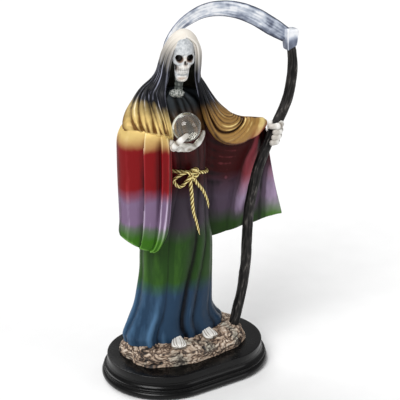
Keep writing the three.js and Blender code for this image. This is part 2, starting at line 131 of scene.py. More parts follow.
def srgb(red, green, blue):
    """A colour given as screen values from 0 to 255, made linear."""
    share = np.array([red, green, blue]) / 255
    linear = np.where(share <= 0.04045, share / 12.92, ((share + 0.055) / 1.055) ** 2.4)
    return (*linear.tolist(), 1.0)


def ramp(node, factor, stops):
    """Colours between (position, colour) stops: three screen values, or a plain number for that grey."""
    made = node("ValToRGB", {"Fac": factor})
    elements = made.color_ramp.elements
    while len(elements) < len(stops):
        elements.new(0.5)
    for element, (position, colour) in zip(elements, stops):
        element.position = position
        element.color = srgb(*colour) if isinstance(colour, tuple) else (colour, colour, colour, 1)
    return made.outputs["Color"]


def mixed(node, factor, first, second, blend="MIX"):
    """One colour laid over another by a factor."""
    made = node("Mix", data_type="RGBA", blend_type=blend)
    tree = made.id_data
    for socket, value in zip((made.inputs[0], made.inputs[6], made.inputs[7]), (factor, first, second)):
        if isinstance(value, bpy.types.NodeSocket):
            tree.links.new(value, socket)
        else:
            socket.default_value = value
    return made.outputs[2]


def maths(node, operation, first, second=0.0):
    """A sum, product or other reckoning on one or two values."""
    return node("Math", {0: first, 1: second}, operation=operation).outputs[0]


def shade(node, colour, roughness, normal=None, **plain):
    """The shader and the output; plain values are set on the shader's own sockets."""
    inputs = {"Base Color": colour, "Roughness": roughness}
    inputs.update({key.replace("_", " "): value for key, value in plain.items()})
    if normal is not None:
        inputs["Normal"] = normal
    shader = node("BsdfPrincipled", inputs)
    node("OutputMaterial", {"Surface": shader.outputs["BSDF"]})


def bumped(node, height, distance, strength=1.0):
    """A bump from a height, whose distance is in metres."""
    return node("Bump", {"Height": height, "Distance": distance, "Strength": strength}).outputs["Normal"]


def object_noise(node, scale, detail=3.0, stretch=(1, 1, 1)):
    """Noise on the object's own coordinates: scale in grains per metre, squeezed along each axis by
    stretch.
    """
    coords = node("TexCoord").outputs["Object"]
    mapped = node("Mapping", {"Vector": coords, "Scale": stretch}).outputs["Vector"]
    return node("TexNoise", {"Vector": mapped, "Scale": scale, "Detail": detail}).outputs["Fac"]


FLOOR_REACH = 4000
FLOOR_HEIGHT = -0.3
STUDIO_LIGHT = 0.32
floor_corners = np.array([[(x, y, FLOOR_HEIGHT) for x in (-FLOOR_REACH, FLOOR_REACH)]
                          for y in (-FLOOR_REACH, FLOOR_REACH)])
paper, node = new_material("floor_paper")
shade(node, ramp(node, object_noise(node, 40.0), [(0.3, 0.92), (0.7, 0.94)]), 0.9)
floor = bpy.data.objects.new("floor", surface_mesh("floor", floor_corners))
bpy.context.collection.objects.link(floor)
floor.data.materials.append(paper)

world = bpy.data.worlds.new("studio")
world.use_nodes = True
sky = world.node_tree.nodes["Background"]
sky.inputs["Color"].default_value = (1, 1, 1, 1)
sky.inputs["Strength"].default_value = STUDIO_LIGHT
bpy.context.scene.world = world

for lamp_name, lamp_direction, lamp_spread, lamp_strength in (
    # name, direction toward the lamp, how wide it is seen, strength
    ("key", (-1.0, -0.5, 1.2), 36.0, 2.35),
    ("fill", (0.75, -1.1, 0.55), 30.0, 0.4),
    ("back", (0.1, 0.9, 0.9), 34.0, 1.0),
):
    lamp_data = bpy.data.lights.new(lamp_name, "SUN")
    lamp_data.angle = np.radians(lamp_spread)
    lamp_data.energy = lamp_strength
    lamp = bpy.data.objects.new(lamp_name, lamp_data)
    lamp.rotation_euler = (-Vector(lamp_direction)).to_track_quat("-Z", "Y").to_euler()
    bpy.context.collection.objects.link(lamp)

# Plinth
# A moulded plinth with round ends, of black satin lacquer: a foot torus, a thin groove, a lip, a cove and a
# straight top plate. The figure stands on it.
plinth_low, plinth_high = (np.array(corner) * 1000 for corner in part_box("plinth"))
plinth_half = (plinth_high - plinth_low)[:2] / 2
plinth_height = plinth_high[2]
TORUS_HEIGHT = 6.4
LIP_INSET = 1.4
LIP_RADIUS = 0.6
PLATE_HEIGHT = 6.0
PLATE_INSET = 4.6
PLATE_ROUNDING = 0.6
COVE_FOOT_INSET, COVE_TOP_INSET = LIP_INSET + 0.3, PLATE_INSET + 0.6
LIP_RISE = 1.0
PLATE_BEAD = 0.35


def arc(centre, radius, start, end, count):
    """Points (inset, height) of an arc; 0 degrees points out of the plinth and 90 up."""
    angles = np.radians(np.linspace(start, end, count))
    return np.stack([centre[0] - radius * np.cos(angles), centre[1] + radius * np.sin(angles)], -1)


def stadium(profile, half, turns=80, straights=20):
    """Rings round a stadium outline, one for each (inset, height) of the profile: a half circle at each
    end, joined by straight runs.
    """
    radius = half[1] - profile[:, :1]
    reach = half[0] - half[1]
    turn = np.radians(np.linspace(-90, 90, turns))
    bend = np.stack([reach + radius * np.cos(turn), radius * np.sin(turn)], -1)
    across = np.linspace(1, -1, straights + 2)[1:-1]
    run = np.stack([np.broadcast_to(reach * across, (len(profile), straights)),
                    np.broadcast_to(radius, (len(profile), straights))], -1)
    half_ring = np.concatenate([bend, run], 1)
    ring = np.concatenate([half_ring, -half_ring], 1)
    height = np.broadcast_to(profile[:, 1][:, None, None], ring.shape[:2] + (1,))
    return np.concatenate([ring, height], -1)


def add_piece(name, mesh, material, node_name):
    """A piece that stands for a solid of the frame and rides on the one body."""
    piece = bpy.data.objects.new(name, mesh)
    bpy.context.collection.objects.link(piece)
    mesh.materials.append(material)
    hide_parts(node_name)
    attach(piece, "root")
    return piece


lip_foot = TORUS_HEIGHT + LIP_RISE
cove_foot = lip_foot + 2 * LIP_RADIUS
plate_foot = plinth_height - PLATE_HEIGHT
cove_angles = np.radians(np.linspace(0, 90, 14))[:, None]
cove = np.hstack([
    COVE_FOOT_INSET + (COVE_TOP_INSET - COVE_FOOT_INSET) * np.sin(cove_angles),
    cove_foot + (plate_foot - cove_foot) * (1 - np.cos(cove_angles)),
])
plinth_profile = np.vstack([
    [(4.0, 0.0)],
    arc((TORUS_HEIGHT / 2, TORUS_HEIGHT / 2), TORUS_HEIGHT / 2, -75, 72, 22),
    arc((LIP_INSET + LIP_RADIUS, lip_foot + LIP_RADIUS), LIP_RADIUS, -80, 75, 8),
    cove,
    arc((PLATE_INSET + PLATE_BEAD, plate_foot + PLATE_BEAD), PLATE_BEAD, -80, 0, 4),
    arc((PLATE_INSET + PLATE_ROUNDING, plinth_height - PLATE_ROUNDING), PLATE_ROUNDING, 0, 90, 7),
    [(PLATE_INSET + 8.0, plinth_height)],
])

lacquer, node = new_material("black_lacquer")
smear = object_noise(node, 60.0, 4.0)
peel = bumped(node, object_noise(node, 700.0, 2.0), 0.00008, 0.5)
shade(node, ramp(node, smear, [(0.35, (6, 6, 7)), (0.7, (12, 12, 12))]),
      ramp(node, smear, [(0.3, 0.22), (0.75, 0.32)]), peel, Specular_IOR_Level=0.18, Coat_Weight=0.08,
      Coat_Roughness=0.12)
plinth_mesh = surface_mesh("plinth_body", stadium(plinth_profile, plinth_half), True, (True, True))
add_piece("plinth_body", plinth_mesh, lacquer, "plinth")

# Rock
# The figure's own ground, cast with it: a low mound of wrinkled stone, painted tan with a dark wash in its
# hollows.
figure_low, figure_high = (np.array(corner) * 1000 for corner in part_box("figure"))
LAYOUT_HEIGHT = 266.4
unit = (figure_high[2] - figure_low[2]) / LAYOUT_HEIGHT


def placed(points):
    """Places of the carving's layout, measured from the rock's underside, as places on the plinth."""
    return np.asarray(points, float) * unit + [0, 0, figure_low[2]]


def cast(name, grid, layers, material, node_name="figure"):
    """A closed piece of the carving: a ringed grid in the layout's places, with both ends capped."""
    mesh = surface_mesh(name, placed(grid), True, (True, True), layers)
    return add_piece(name, mesh, material, node_name)


def attribute(node, name):
    """A value that the mesh holds for each point."""
    return node("Attribute", attribute_name=name).outputs["Fac"]


def nudged(node, value, cloud, strength):
    """A value moved up and down by a cloud from 0 to 1: value + (cloud - 0.5) * strength."""
    away = maths(node, "MULTIPLY", maths(node, "SUBTRACT", cloud, 0.5), strength)
    return maths(node, "ADD", value, away)


def ring_angles(count, start=0):
    """Evenly spaced angles once round, from start."""
    return np.linspace(start, start + 360, count, endpoint=False)[None]


def way(degrees):
    """The cosine and the sine of angles."""
    return np.cos(np.radians(degrees)), np.sin(np.radians(degrees))


def hump(value, middle, spread):
    """A bell: e to the power of minus the squared distance from middle, the distance counted in spreads."""
    return np.exp(-((value - middle) / spread) ** 2)


def smooth(value, start, end):
    """0 before start, 1 after end, and an even S between them."""
    share = np.clip((value - start) / (end - start), 0, 1)
    return share * share * (3 - 2 * share)


def between(value, start, full, fading, end):
    """0 before start, 1 from full to fading, 0 after end, and an even S between them."""
    return smooth(value, start, full) * (1 - smooth(value, fading, end))


def keyed(rows, at):
    """Smooth values between rows of (position, value, ...): a cubic between each two rows whose slopes are
    those of the chords to the rows beside them, held past both ends.
    """
    rows = np.array(rows, float)
    at = np.asarray(at, float)
    last = len(rows) - 1
    row = np.clip(np.searchsorted(rows[:, 0], at, side="right") - 1, 0, last - 1)
    span = rows[row + 1, 0] - rows[row, 0]
    share = np.clip((at - rows[row, 0]) / span, 0, 1)[..., None]

    def slope(k):
        after, before = rows[np.minimum(k + 1, last)], rows[np.maximum(k - 1, 0)]
        return (after[..., 1:] - before[..., 1:]) / (after[..., :1] - before[..., :1])

    rise = share * share * (3 - 2 * share)
    swing = (1 - share) * slope(row) - share * slope(row + 1)
    swing = span[..., None] * share * (1 - share) * swing
    return rows[row, 1:] * (1 - rise) + rows[row + 1, 1:] * rise + swing


def gathered(*values):
    """Points from one value for each axis, the values spread over one grid."""
    return np.stack(np.broadcast_arrays(*values), -1)


def turned(along, across, degrees):
    """A place's two parts, turned by an angle."""
    c, s = way(degrees)
    return along * c - across * s, along * s + across * c


def noise(points, size, octaves=3, seed=0):
    """Smooth random values from -1 to 1: random numbers at the corners of a lattice, blended across each
    cell, plus finer lattices at half the strength each.
    """
    total = 0
    for octave in range(octaves):
        place = points / size * 2 ** octave + 13.7 * octave + 5.1 * seed + 400
        corner = np.floor(place).astype(np.int64)
        share = place - corner
        share = share * share * (3 - 2 * share)
        for step in np.ndindex(2, 2, 2):
            key = (corner + step) @ np.array([374761393, 668265263, 1103515245])
            key = (key ^ (key >> 13)) * 1274126177
            value = ((key ^ (key >> 16)) & 0xFFFF) / 32767.5 - 1
            total = total + value * np.prod(np.where(step, share, 1 - share), -1) * 0.5 ** octave
    return total / (2 - 0.5 ** (octaves - 1))


def normals(grid, around=False):
    """Unit vectors square to a grid: its columns' direction crossed with its rows' direction."""
    if around:
        across = (np.roll(grid, -1, 1) - np.roll(grid, 1, 1)) / 2
    else:
        across = np.gradient(grid, axis=1)
    square = np.cross(across, np.gradient(grid, axis=0))
    return square / np.maximum(np.linalg.norm(square, axis=-1, keepdims=True), 1e-9)


def oval(rows, heights, angles, turn=0.0, power=2.0):
    """Points on stacked ovals from rows of (height, middle x, middle y, half length, half width, lean).
    Each is |x/length|^power + |y/width|^power = 1, turned about Z, and rises along its length by its lean.
    """
    values = keyed(rows, heights)
    x, y, length, width = (values[..., k] for k in range(4))
    lean = values[..., 4] if values.shape[-1] > 4 else 0
    cosine, sine = way(angles)
    reach = (np.abs(cosine) ** power + np.abs(sine) ** power) ** (-1 / power)
    along = length * reach * cosine
    to_x, to_y = turned(along, width * reach * sine, turn)
    return gathered(x + to_x, y + to_y, heights + lean * along)


ROCK_HALF = (54, 36)
ROCK_MIDDLE = (0, 3)
ROCK_WRINKLE = 0.95
rock_profile = [
    # place along the profile, height, share of the footprint
    [0, 0, 0.99], [1, 2.5, 0.995], [2, 6, 0.98], [3, 9, 0.935], [4, 11.5, 0.855], [5, 13, 0.74],
    [6, 13.6, 0.5], [7, 13.8, 0.2], [8, 13.8, 0.02],
]
ridge_at = np.linspace(0, 8, 177)[:, None]
rock_angle = ring_angles(560, -180)
rock_height, rock_share = np.moveaxis(keyed(rock_profile, ridge_at + 0 * rock_angle), -1, 0)
rock_wave = 0.018 * np.sin(np.radians(7 * rock_angle) + 1) + 0.012 * np.sin(np.radians(17 * rock_angle))
rock_rows = [[0, *ROCK_MIDDLE, *ROCK_HALF], [20, *ROCK_MIDDLE, *ROCK_HALF]]
rim_points = oval(rock_rows, 0 * rock_share, rock_angle + 0 * rock_share, power=2.5)
rock_centre = np.array([*ROCK_MIDDLE, 0])
rock = rock_centre + (rim_points - rock_centre) * (rock_share * (1 + rock_wave))[..., None]
rock[..., 2] = rock_height
stretched = rock * [1, 1, 1.6]
warp = np.stack([noise(stretched, 9, 2, seed) for seed in (1, 2, 3)], -1) * 5
wrinkles = 1 - np.abs(noise(stretched + warp, 3.4, 2, 4)) * 2.4
clefts = 1 - np.abs(noise(stretched + 1.6 * warp, 17, 1, 6)) * 9
wrinkles = np.clip(wrinkles, -1, 1)
grain = noise(stretched, 1.4, 2, 5)
lumps = noise(stretched, 11, 2, 9)
rock_relief = (0.16 * grain + 0.7 * lumps - 0.5 - ROCK_WRINKLE * smooth(wrinkles, 0.1, 1.0)
               - 0.9 * smooth(clefts, 0, 1))
rock_relief *= smooth(ridge_at, 0.0, 0.6) * smooth(8 - ridge_at, 0.0, 2.0)
rock = rock + normals(rock, True) * rock_relief[..., None]

stone, node = new_material("painted_stone")
hollow = attribute(node, "crease")
patches = object_noise(node, 55.0, 4.0)
speckle = object_noise(node, 420.0, 3.0)
tone = nudged(node, hollow, speckle, 0.5)
tans = ramp(node, tone, [(0.05, (26, 19, 15)), (0.3, (84, 66, 54)), (0.55, (142, 120, 101)),
                         (0.8, (184, 163, 143)), (1.0, (226, 212, 196))])
greys = ramp(node, tone, [(0.05, (24, 22, 20)), (0.4, (84, 80, 74)), (0.75, (138, 136, 124)),
                          (1.0, (186, 186, 174))])
shade(node, mixed(node, ramp(node, patches, [(0.52, 0.0), (0.66, 0.8)]), tans, greys),
      ramp(node, speckle, [(0.3, 0.45), (0.7, 0.62)]), bumped(node, speckle, 0.0004, 0.6))
rock_paint = (0.8 - 0.6 * smooth(wrinkles, 0.1, 1.0) - 0.4 * smooth(clefts, 0, 1)
              + 0.25 * grain + 0.15 * lumps)
cast("rock", rock, {"crease": np.clip(rock_paint, 0, 1)}, stone)

# Robe
# The gown under the cloak, cast with the figure: round folds that part at sharp creases, drawn in at the
# waist and spreading over the rock. It is sprayed in bands; its creases are dark, partly from the paint's
# wash and partly painted shade, and some ridges carry painted highlights.
robe_rows = [
    # height, middle x, middle y, half length, half width
    [10, -5, 9, 45, 24.8], [12, -5, 9, 45.4, 25], [17, -5.8, 9, 45.6, 25.2], [22, -7.2, 8.8, 42.6, 24.8],
    [28, -7.8, 8.4, 39.2, 24.4], [35, -7.4, 7.8, 36.4, 24], [45, -6.1, 7.4, 34.3, 23.6],
    [57, -5.2, 7, 33, 23.2], [72, -4.2, 6.6, 32.2, 22.6], [90, -4, 6.2, 31.8, 22],
    [108, -3.8, 5.8, 28.5, 20.8], [128, -1.8, 4.8, 24.2, 18.4], [145, 0.5, 3.2, 20, 15.5],
    [154, 1.5, 2.6, 18.2, 14], [165, 1, 2.6, 19.5, 15], [185, -2, 2.6, 22, 15.5], [203, -6, 2.6, 25, 14.5],
    [214, -7, 2.6, 23, 12.5], [220, -8, 2.6, 14, 8], [222, -8, 2.6, 3, 2],
]
robe_creases = [
    # height, angles of the creases
    [12, -257, -230, -206, -184, -158, -127, -93, -82, -52, -24, 2, 27, 52, 78],
    [37, -254, -232, -208, -183, -156, -125, -96, -79, -48, -20, 5, 29, 53, 77],
    [60, -254, -233, -208, -183, -157, -126, -93, -73, -43, -15, 6, 29, 52, 76],
    [80, -255, -232, -209, -184, -159, -126, -85, -64, -37, -9, 9, 30, 52, 76],
    [100, -256, -232, -209, -184, -159, -126, -78, -55, -31, -4, 12, 32, 52, 76],
    [130, -255, -231, -207, -184, -157, -126, -74, -50, -28, 0, 16, 34, 52, 77],
    [185, -255, -231, -207, -184, -157, -126, -75, -50, -26, 2, 18, 35, 52, 77],
]
BACK_CREASES = [-255, -225, -195, -165]
chest_creases = [[height, *BACK_CREASES, *angles] for height, *angles in [
    # height, angles of the creases over the chest
    [185, -132, -112, -97, -80, -58, -30, 20, 47, 76], [199, -140, -119, -98.5, -83, -67, -40, 18, 47, 75],
    [208, -146, -124, -101.5, -87.5, -73, -50, 10, 44, 75],
    [217, -152, -130, -107, -92.5, -83, -62, 4, 42, 75],
]]
SKIRT_FOOT, SKIRT_TOP, ROBE_TOP = 10, 60, 222
ROBE_STRENGTHS = [0.8, 0.8, 0.7, 0.5, 0.35, 0.8, 0.95, 0.75, 0.42, 0.6, 0.7, 0.8, 0.8, 0.8]
CHEST_STRENGTHS = 13 * [1.3]
robe_depth = [[10, 4.4], [30, 4.6], [60, 3.4], [95, 2.2], [125, 1.5], [148, 1.2], [153, 0.8], [165, 1.2],
              [190, 1.5], [206, 2.0], [218, 0.5]]
robe_ridges = [
    # angle, height where it fades out, rise, half width in degrees
    (-137, 44, 1.6, 3.6), (-121, 34, 1.0, 3), (-88, 70, 0.5, 3), (-68, 62, 0.4, 4), (-194, 80, 0.6, 6),
]


def panels(place, creases, full_turn=None):
    """Where each place lies between the creases beside it, from 0 to 1, with the panel's width and number.
    creases lists them from low to high on its last axis; with full_turn they repeat past both ends.
    """
    if full_turn:
        creases = np.concatenate([creases[..., -1:] - full_turn, creases, creases[..., :1] + full_turn], -1)
    number = np.clip((place[..., None] > creases).sum(-1), 1, creases.shape[-1] - 1)
    creases = np.broadcast_to(creases, number.shape + creases.shape[-1:])
    low = np.take_along_axis(creases, number[..., None] - 1, -1)[..., 0]
    high = np.take_along_axis(creases, number[..., None], -1)[..., 0]
    width = np.maximum(high - low, 1e-6)
    return np.clip((place - low) / width, 0, 1), width, number


def creased(share, width, number, strengths, along, blur, power=2.6, seed=0):
    """Cloth between creases: it sinks toward the crease on each side by strength times
    (1 - distance)^power, the distance being a share of the panel's width. Returns that sinking and the
    paint's depth: 0 along a crease, whose dark band is blur wide and deepens where the cloth sinks, to 1 on
    some ridges picked by noise. The dark stands partly for the paint's washes and partly for painted shade
    in the folds; the light on those ridges is a painted highlight. Each crease's strength changes slowly
    along it.
    """
    count = len(strengths)
    strength = np.array(strengths, float)

    def side(crease):
        place = gathered(crease * 3.7, along, seed)
        return strength[(crease - 1) % count] * (0.85 + 0.45 * noise(place, 1.0, 1, seed))

    low, high = side(number - 1), side(number)
    sunk = low * (1 - share) ** power + high * share ** power
    # The dark along each crease: partly the paint's washes, partly painted shade.
    wash_and_shade = np.maximum(low * np.exp(-share * width / blur), high * np.exp(-(1 - share) * width / blur))
    # Some ridges, picked by noise, get a painted highlight.
    place = gathered(number * 5.3, along * 1.4, seed + 9)
    highlit = smooth(noise(place, 1.0, 1, seed), -0.3, 0.9)
    lean = 0.5 + 0.12 * np.sin(number * 2.4)
    ridge = highlit * hump(share, lean, 0.17)
    return sunk, np.clip(0.6 + 0.45 * ridge - 0.35 * np.minimum(sunk, 1.2) - 0.3 * wash_and_shade, 0, 1)


STANDARD_BOUNDS = (80, 124, 163, 206, 230, 267)


def banded(height, bounds):
    """Heights stretched so that a piece's own bounds between its colours fall on the standard ones."""
    bounds = [np.asarray(bound, float) for bound in bounds]
    result = STANDARD_BOUNDS[0] + np.minimum(height - bounds[0], 0) + np.maximum(height - bounds[-1], 0)
    own, standard = zip(bounds[:-1], bounds[1:]), zip(STANDARD_BOUNDS[:-1], STANDARD_BOUNDS[1:])
    for (low, high), (to_low, to_high) in zip(own, standard):
        result = result + np.clip((height - low) / (high - low), 0, 1) * (to_high - to_low)
    return result


PAINT_TOP = 300
TEXTURE_BUMP = 0.00008


def sprayed(node, bands, height, depth):
    """The colour of sprayed bands: for each (from, to, crease colour, middle colour, ridge colour) a ramp
    by height, then crease to middle to ridge by depth. The crease colours stand partly for the paint's
    washes and partly for painted shade, the ridge colours for painted highlights.
    """
    levels = []
    for level in range(2, 5):
        stops = []
        for band in bands:
            stops += [(band[0] / PAINT_TOP, band[level]), (band[1] / PAINT_TOP, band[level])]
        levels.append(ramp(node, height, stops))
    lower = mixed(node, ramp(node, depth, [(0.03, 0.0), (0.42, 1.0)]), levels[0], levels[1])
    return mixed(node, ramp(node, depth, [(0.62, 0.0), (0.98, 1.0)]), lower, levels[2])


def paint_inputs(node):
    """The band height with a little unevenness, and the fold depth, which darkens creases and lightens
    ridges, streaked by noise.
    """
    height = attribute(node, "height")
    height = nudged(node, height, object_noise(node, 70.0, 3.0), 0.02)
    depth = attribute(node, "crease")
    return height, nudged(node, depth, object_noise(node, 260.0, 3.0, (1, 1, 0.25)), 0.35)


def cloth_shade(node, colour, dull, **plain):
    """Satin paint on cast cloth: its roughness wanders from dull up to 0.12 more, over a fine grain."""
    shade(node, colour, ramp(node, object_noise(node, 120.0), [(0.3, dull), (0.7, dull + 0.12)]),
          bumped(node, object_noise(node, 900.0, 2.0), TEXTURE_BUMP, 0.5), **plain)


robe_bands = [
    (0, 74, (8, 13, 22), (33, 57, 81), (72, 106, 138)),
    (86, 117, (9, 20, 5), (36, 69, 21), (72, 118, 40)),
    (131, 155, (22, 17, 25), (64, 55, 66), (104, 90, 114)),
    (168, 200, (16, 1, 2), (55, 1, 3), (118, 26, 34)),
    (209, 222, (34, 20, 12), (96, 66, 38), (130, 96, 58)),
    (234, 300, (5, 6, 7), (49, 54, 58), (106, 114, 120)),
]
gown_paint, node = new_material("gown_paint")
paint_height, paint_depth = paint_inputs(node)
cloth_shade(node, sprayed(node, robe_bands, paint_height, paint_depth), 0.34, Specular_IOR_Level=0.14)

robe_height = np.concatenate([np.linspace(SKIRT_FOOT, SKIRT_TOP, 90),
                              np.linspace(SKIRT_TOP, ROBE_TOP, 171)[1:]])[:, None]
robe_angle = ring_angles(320, -270)
robe_at = robe_height + 0 * robe_angle
robe_fold_angle = robe_angle + 0 * robe_height
share, width, number = panels(robe_fold_angle, keyed(robe_creases, robe_height), 360)
chest_share, chest_width, chest_number = panels(robe_fold_angle, keyed(chest_creases, robe_height), 360)
chest = smooth(robe_height, 183, 192)
skirt_sunk, skirt_paint = creased(share, width, number, ROBE_STRENGTHS, robe_at / 40, 2.6, 3.2, 7)
chest_sunk, chest_paint = creased(chest_share, chest_width, chest_number, CHEST_STRENGTHS, robe_at / 25,
                                  3.4, 2.4, 8)
sunk = skirt_sunk * (1 - chest) + chest_sunk * chest
crease = np.minimum(skirt_paint, 0.68) * (1 - chest) + chest_paint * chest
# Painted light and shade: the panels at the gown's right, where the key lamp falls, are painted lighter,
# and those from its front round its left darker.
crease = (crease + 0.13 * (1 - smooth(robe_angle, -130, -112)) * (1 - chest)
          - 0.13 * smooth(robe_angle, -114, -92))
robe = oval(robe_rows, robe_at, robe_fold_angle, power=2.1)
robe_out = normals(robe, True)
broad = noise(robe * [1, 1, 0.35], 14, 2, 7)
depth = keyed(robe_depth, robe_at)[..., 0] * (0.55 + 0.45 * np.minimum(width / 30, 1))
robe_relief = 0.5 * broad * smooth(robe_height, SKIRT_FOOT, 30) - depth * sunk
# Raised ridges near the hem, painted lighter along their crests: painted highlights.
for angle, top, rise, half in robe_ridges:
    ridge = hump(robe_fold_angle, angle, half) * (1 - smooth(robe_height, top * 0.5, top))
    robe_relief = robe_relief + rise * ridge
    crease = np.clip(crease + 0.3 * rise * ridge, 0, 1)
robe = robe + robe_out * robe_relief[..., None]
left_side = smooth(robe_fold_angle, -120, -60)
robe_band = banded(placed(robe)[..., 2] + 3 * noise(robe, 20, 2, 8) + (crease - 0.5) * 5,
                   (80 - 3 * left_side, 124, 160, 206, 223.5, 267))
cast("robe", robe, {"height": robe_band / PAINT_TOP, "crease": crease}, gown_paint)

# Feet
# Two bony feet that show under the gown's hem, each with five toes side by side, painted ivory.
feet = [
    # middle x, middle y, height, turn, half length, slant of the toes' line
    (-18.2, -17.6, 13.4, -25, 8.6, 0.0), (11.4, -17.4, 13.2, -11, 7.8, 0.16),
]
FOOT_HALF_WIDTH = 6.2
FOOT_HEIGHT = 3.4
TOES = 6

bone, node = new_material("painted_bone")
bone_depth = attribute(node, "crease")
stain = object_noise(node, 300.0, 3.0)
bone_tone = nudged(node, bone_depth, stain, 0.3)
shade(node, ramp(node, bone_tone, [(0.02, (58, 50, 42)), (0.3, (142, 132, 120)),
                                   (0.62, (206, 202, 195)), (0.95, (236, 234, 229))]),
      0.42, bumped(node, stain, 0.0002, 0.5))

for foot_name, (x, y, z, turn, half_length, slant) in zip(("right_foot", "left_foot"), feet):
    along = np.linspace(0, 1, 70)[:, None]
    around = ring_angles(150, -180)
    side, up = (part * np.ones_like(along) for part in way(around))
    squared = np.sign(side) * np.abs(side) ** 0.6
    ridge = 1 - np.abs(2 * ((squared * 0.5 + 0.5) * TOES % 1) - 1) ** 2.2
    front = smooth(along, 0.15, 0.4)
    swell = np.clip(1 - np.abs(2 * along - 1) ** 10, 0, 1) ** 0.5
    half_width = FOOT_HALF_WIDTH * (0.62 + 0.38 * smooth(along, 0.0, 0.8)) * swell
    half_height = FOOT_HEIGHT * (1.15 - 0.45 * along) * swell
    reach = 1 + 0.06 * ridge * smooth(along, 0.7, 1.0) - slant * squared * along
    local_x = squared * half_width
    local_y = -(along * 2 - 1) * half_length * reach
    local_z = half_height * (up - 0.3 * (1 - ridge) * front * np.maximum(up, 0))
    to_x, to_y = turned(local_x, local_y, turn)
    foot = gathered(x + to_x, y + to_y, z + local_z)
    # Lighter on the toes' tops, darker between the toes and over the foot's underside: painted shade.
    toe_tops = (ridge * front + (1 - front)) * smooth(up, -0.6, 0.3)
    cast(foot_name, foot, {"crease": np.clip(0.15 + 0.85 * toe_tops, 0, 1)}, bone)

# Belt
# A thick rope of three twisted strands round the waist, tied before it with a knot, one loop and two
# tapered tails, moulded with the gown and painted gold.
BELT_HEIGHT = 155.2
BELT_SLOPE = -0.12
BELT_RADIUS = 1.5
CORD_RADIUS = 1.35
STRANDS = 3
STRAND_PITCH = 3.9
KNOT = (-1.6, -15.0, 156.1)


def route(points, step=0.35):
    """A smooth path through points, resampled at an even step along its length."""
    points = np.array(points, float)
    rows = np.hstack([np.arange(len(points))[:, None], points])
    path = keyed(rows, np.linspace(0, len(points) - 1, 60 * len(points)))
    length = np.concatenate([[0], np.cumsum(np.linalg.norm(np.diff(path, axis=0), axis=1))])
    at = np.linspace(0, length[-1], max(int(length[-1] / step), 12))
    return np.stack([np.interp(at, length, path[:, k]) for k in range(3)], -1)


def tube(path, radius, angles, reference=(0, -1, 0)):
    """Rings round a path: each point is the path's place plus radius times a vector that turns with angle
    in the plane square to the path, measured from reference.
    """
    tangent = np.gradient(path, axis=0)
    tangent /= np.linalg.norm(tangent, axis=1, keepdims=True)
    side = np.cross(reference, tangent)
    side /= np.linalg.norm(side, axis=1, keepdims=True)
    other = np.cross(tangent, side)
    c, s = way(angles[..., None])
    return path[:, None] + radius[..., None] * (side[:, None] * c + other[:, None] * s)


def add_rope(name, path, size, taper=None, reference=(0, -1, 0)):
    """A rope along a path: a tube whose radius rises over each strand; the strands turn with the length."""
    angle = ring_angles(42)
    run = np.arange(len(path))[:, None] * np.linalg.norm(path[1] - path[0])
    strand = np.abs(np.cos(np.radians(STRANDS / 2 * angle) - np.pi * run / STRAND_PITCH))
    radius = size * (0.68 + 0.32 * strand ** 0.6)
    if taper is not None:
        radius = radius * taper(np.linspace(0, 1, len(path)))[:, None]
    # Each strand is painted lighter on its crown, a painted highlight, and darker where strands meet,
    # painted shade.
    cast(name, tube(path, radius, angle + 0 * run, reference), {"crease": strand ** 0.7}, gilt)


gilt, node = new_material("gilt_paint")
gilt_depth = attribute(node, "crease")
# The darkest stop is the painted shade between strands, the lightest the painted highlight on their crowns.
shade(node, ramp(node, gilt_depth, [(0.15, (30, 20, 4)), (0.5, (120, 90, 34)), (0.74, (204, 172, 84)),
                                    (0.95, (255, 242, 172))]),
      ramp(node, object_noise(node, 500.0), [(0.3, 0.24), (0.7, 0.36)]), Metallic=0.35)

belt_turn = np.linspace(-270, 90, 260)
belt_path = oval(robe_rows, np.full(260, float(BELT_HEIGHT)), belt_turn, power=2.1)
belt_middle = keyed(robe_rows, float(BELT_HEIGHT))[:2]
belt_path[:, :2] += (belt_path[:, :2] - belt_middle) * 0.03
belt_path[:, 2] += BELT_SLOPE * belt_path[:, 0] - 0.18 * np.maximum(belt_path[:, 0], 0)
add_rope("belt", route(belt_path[::4]), BELT_RADIUS, reference=(0, 0, 1))
bow_loop = [(0, 0, 0), (-3, -1.2, -0.4), (-6.7, -1.0, 1.6), (-11.2, 0, 0.5), (-14.4, 1.8, -1.7),
            (-16.1, 2.8, -4.2), (-14.8, 2.6, -7.6), (-12, 1.6, -10), (-9.5, 0.2, -9), (-7.1, -0.8, -6.1),
            (-3.9, -1.2, -2.6), (-0.6, -0.4, -0.8)]
long_tail = [(-0.8, -0.6, -0.6), (-2.4, -1.2, -2.2), (-3.5, -1.4, -5.5), (-3.3, -1.5, -10.4),
             (-2.5, -1.6, -18), (-2.1, -1.8, -25.3), (-1, -2, -33.3), (0.8, -2.4, -39.6),
             (2.2, -2.8, -45.7), (3.8, -3.2, -52.8)]
short_tail = [(0, -0.4, -0.8), (-0.2, -1, -2.6), (0.8, -1, -6.2), (3.7, -0.8, -10.5), (8.1, -0.4, -16),
              (10.8, -0.2, -20.8), (13.3, 0, -26.8), (14.7, 0.2, -33.8)]


def rope_end(share):
    """Full size along most of a tail, then drawn in to a thin end."""
    return 1.0 - 0.4 * smooth(share, 0.35, 0.98) - 0.4 * smooth(share, 0.9, 1.0)


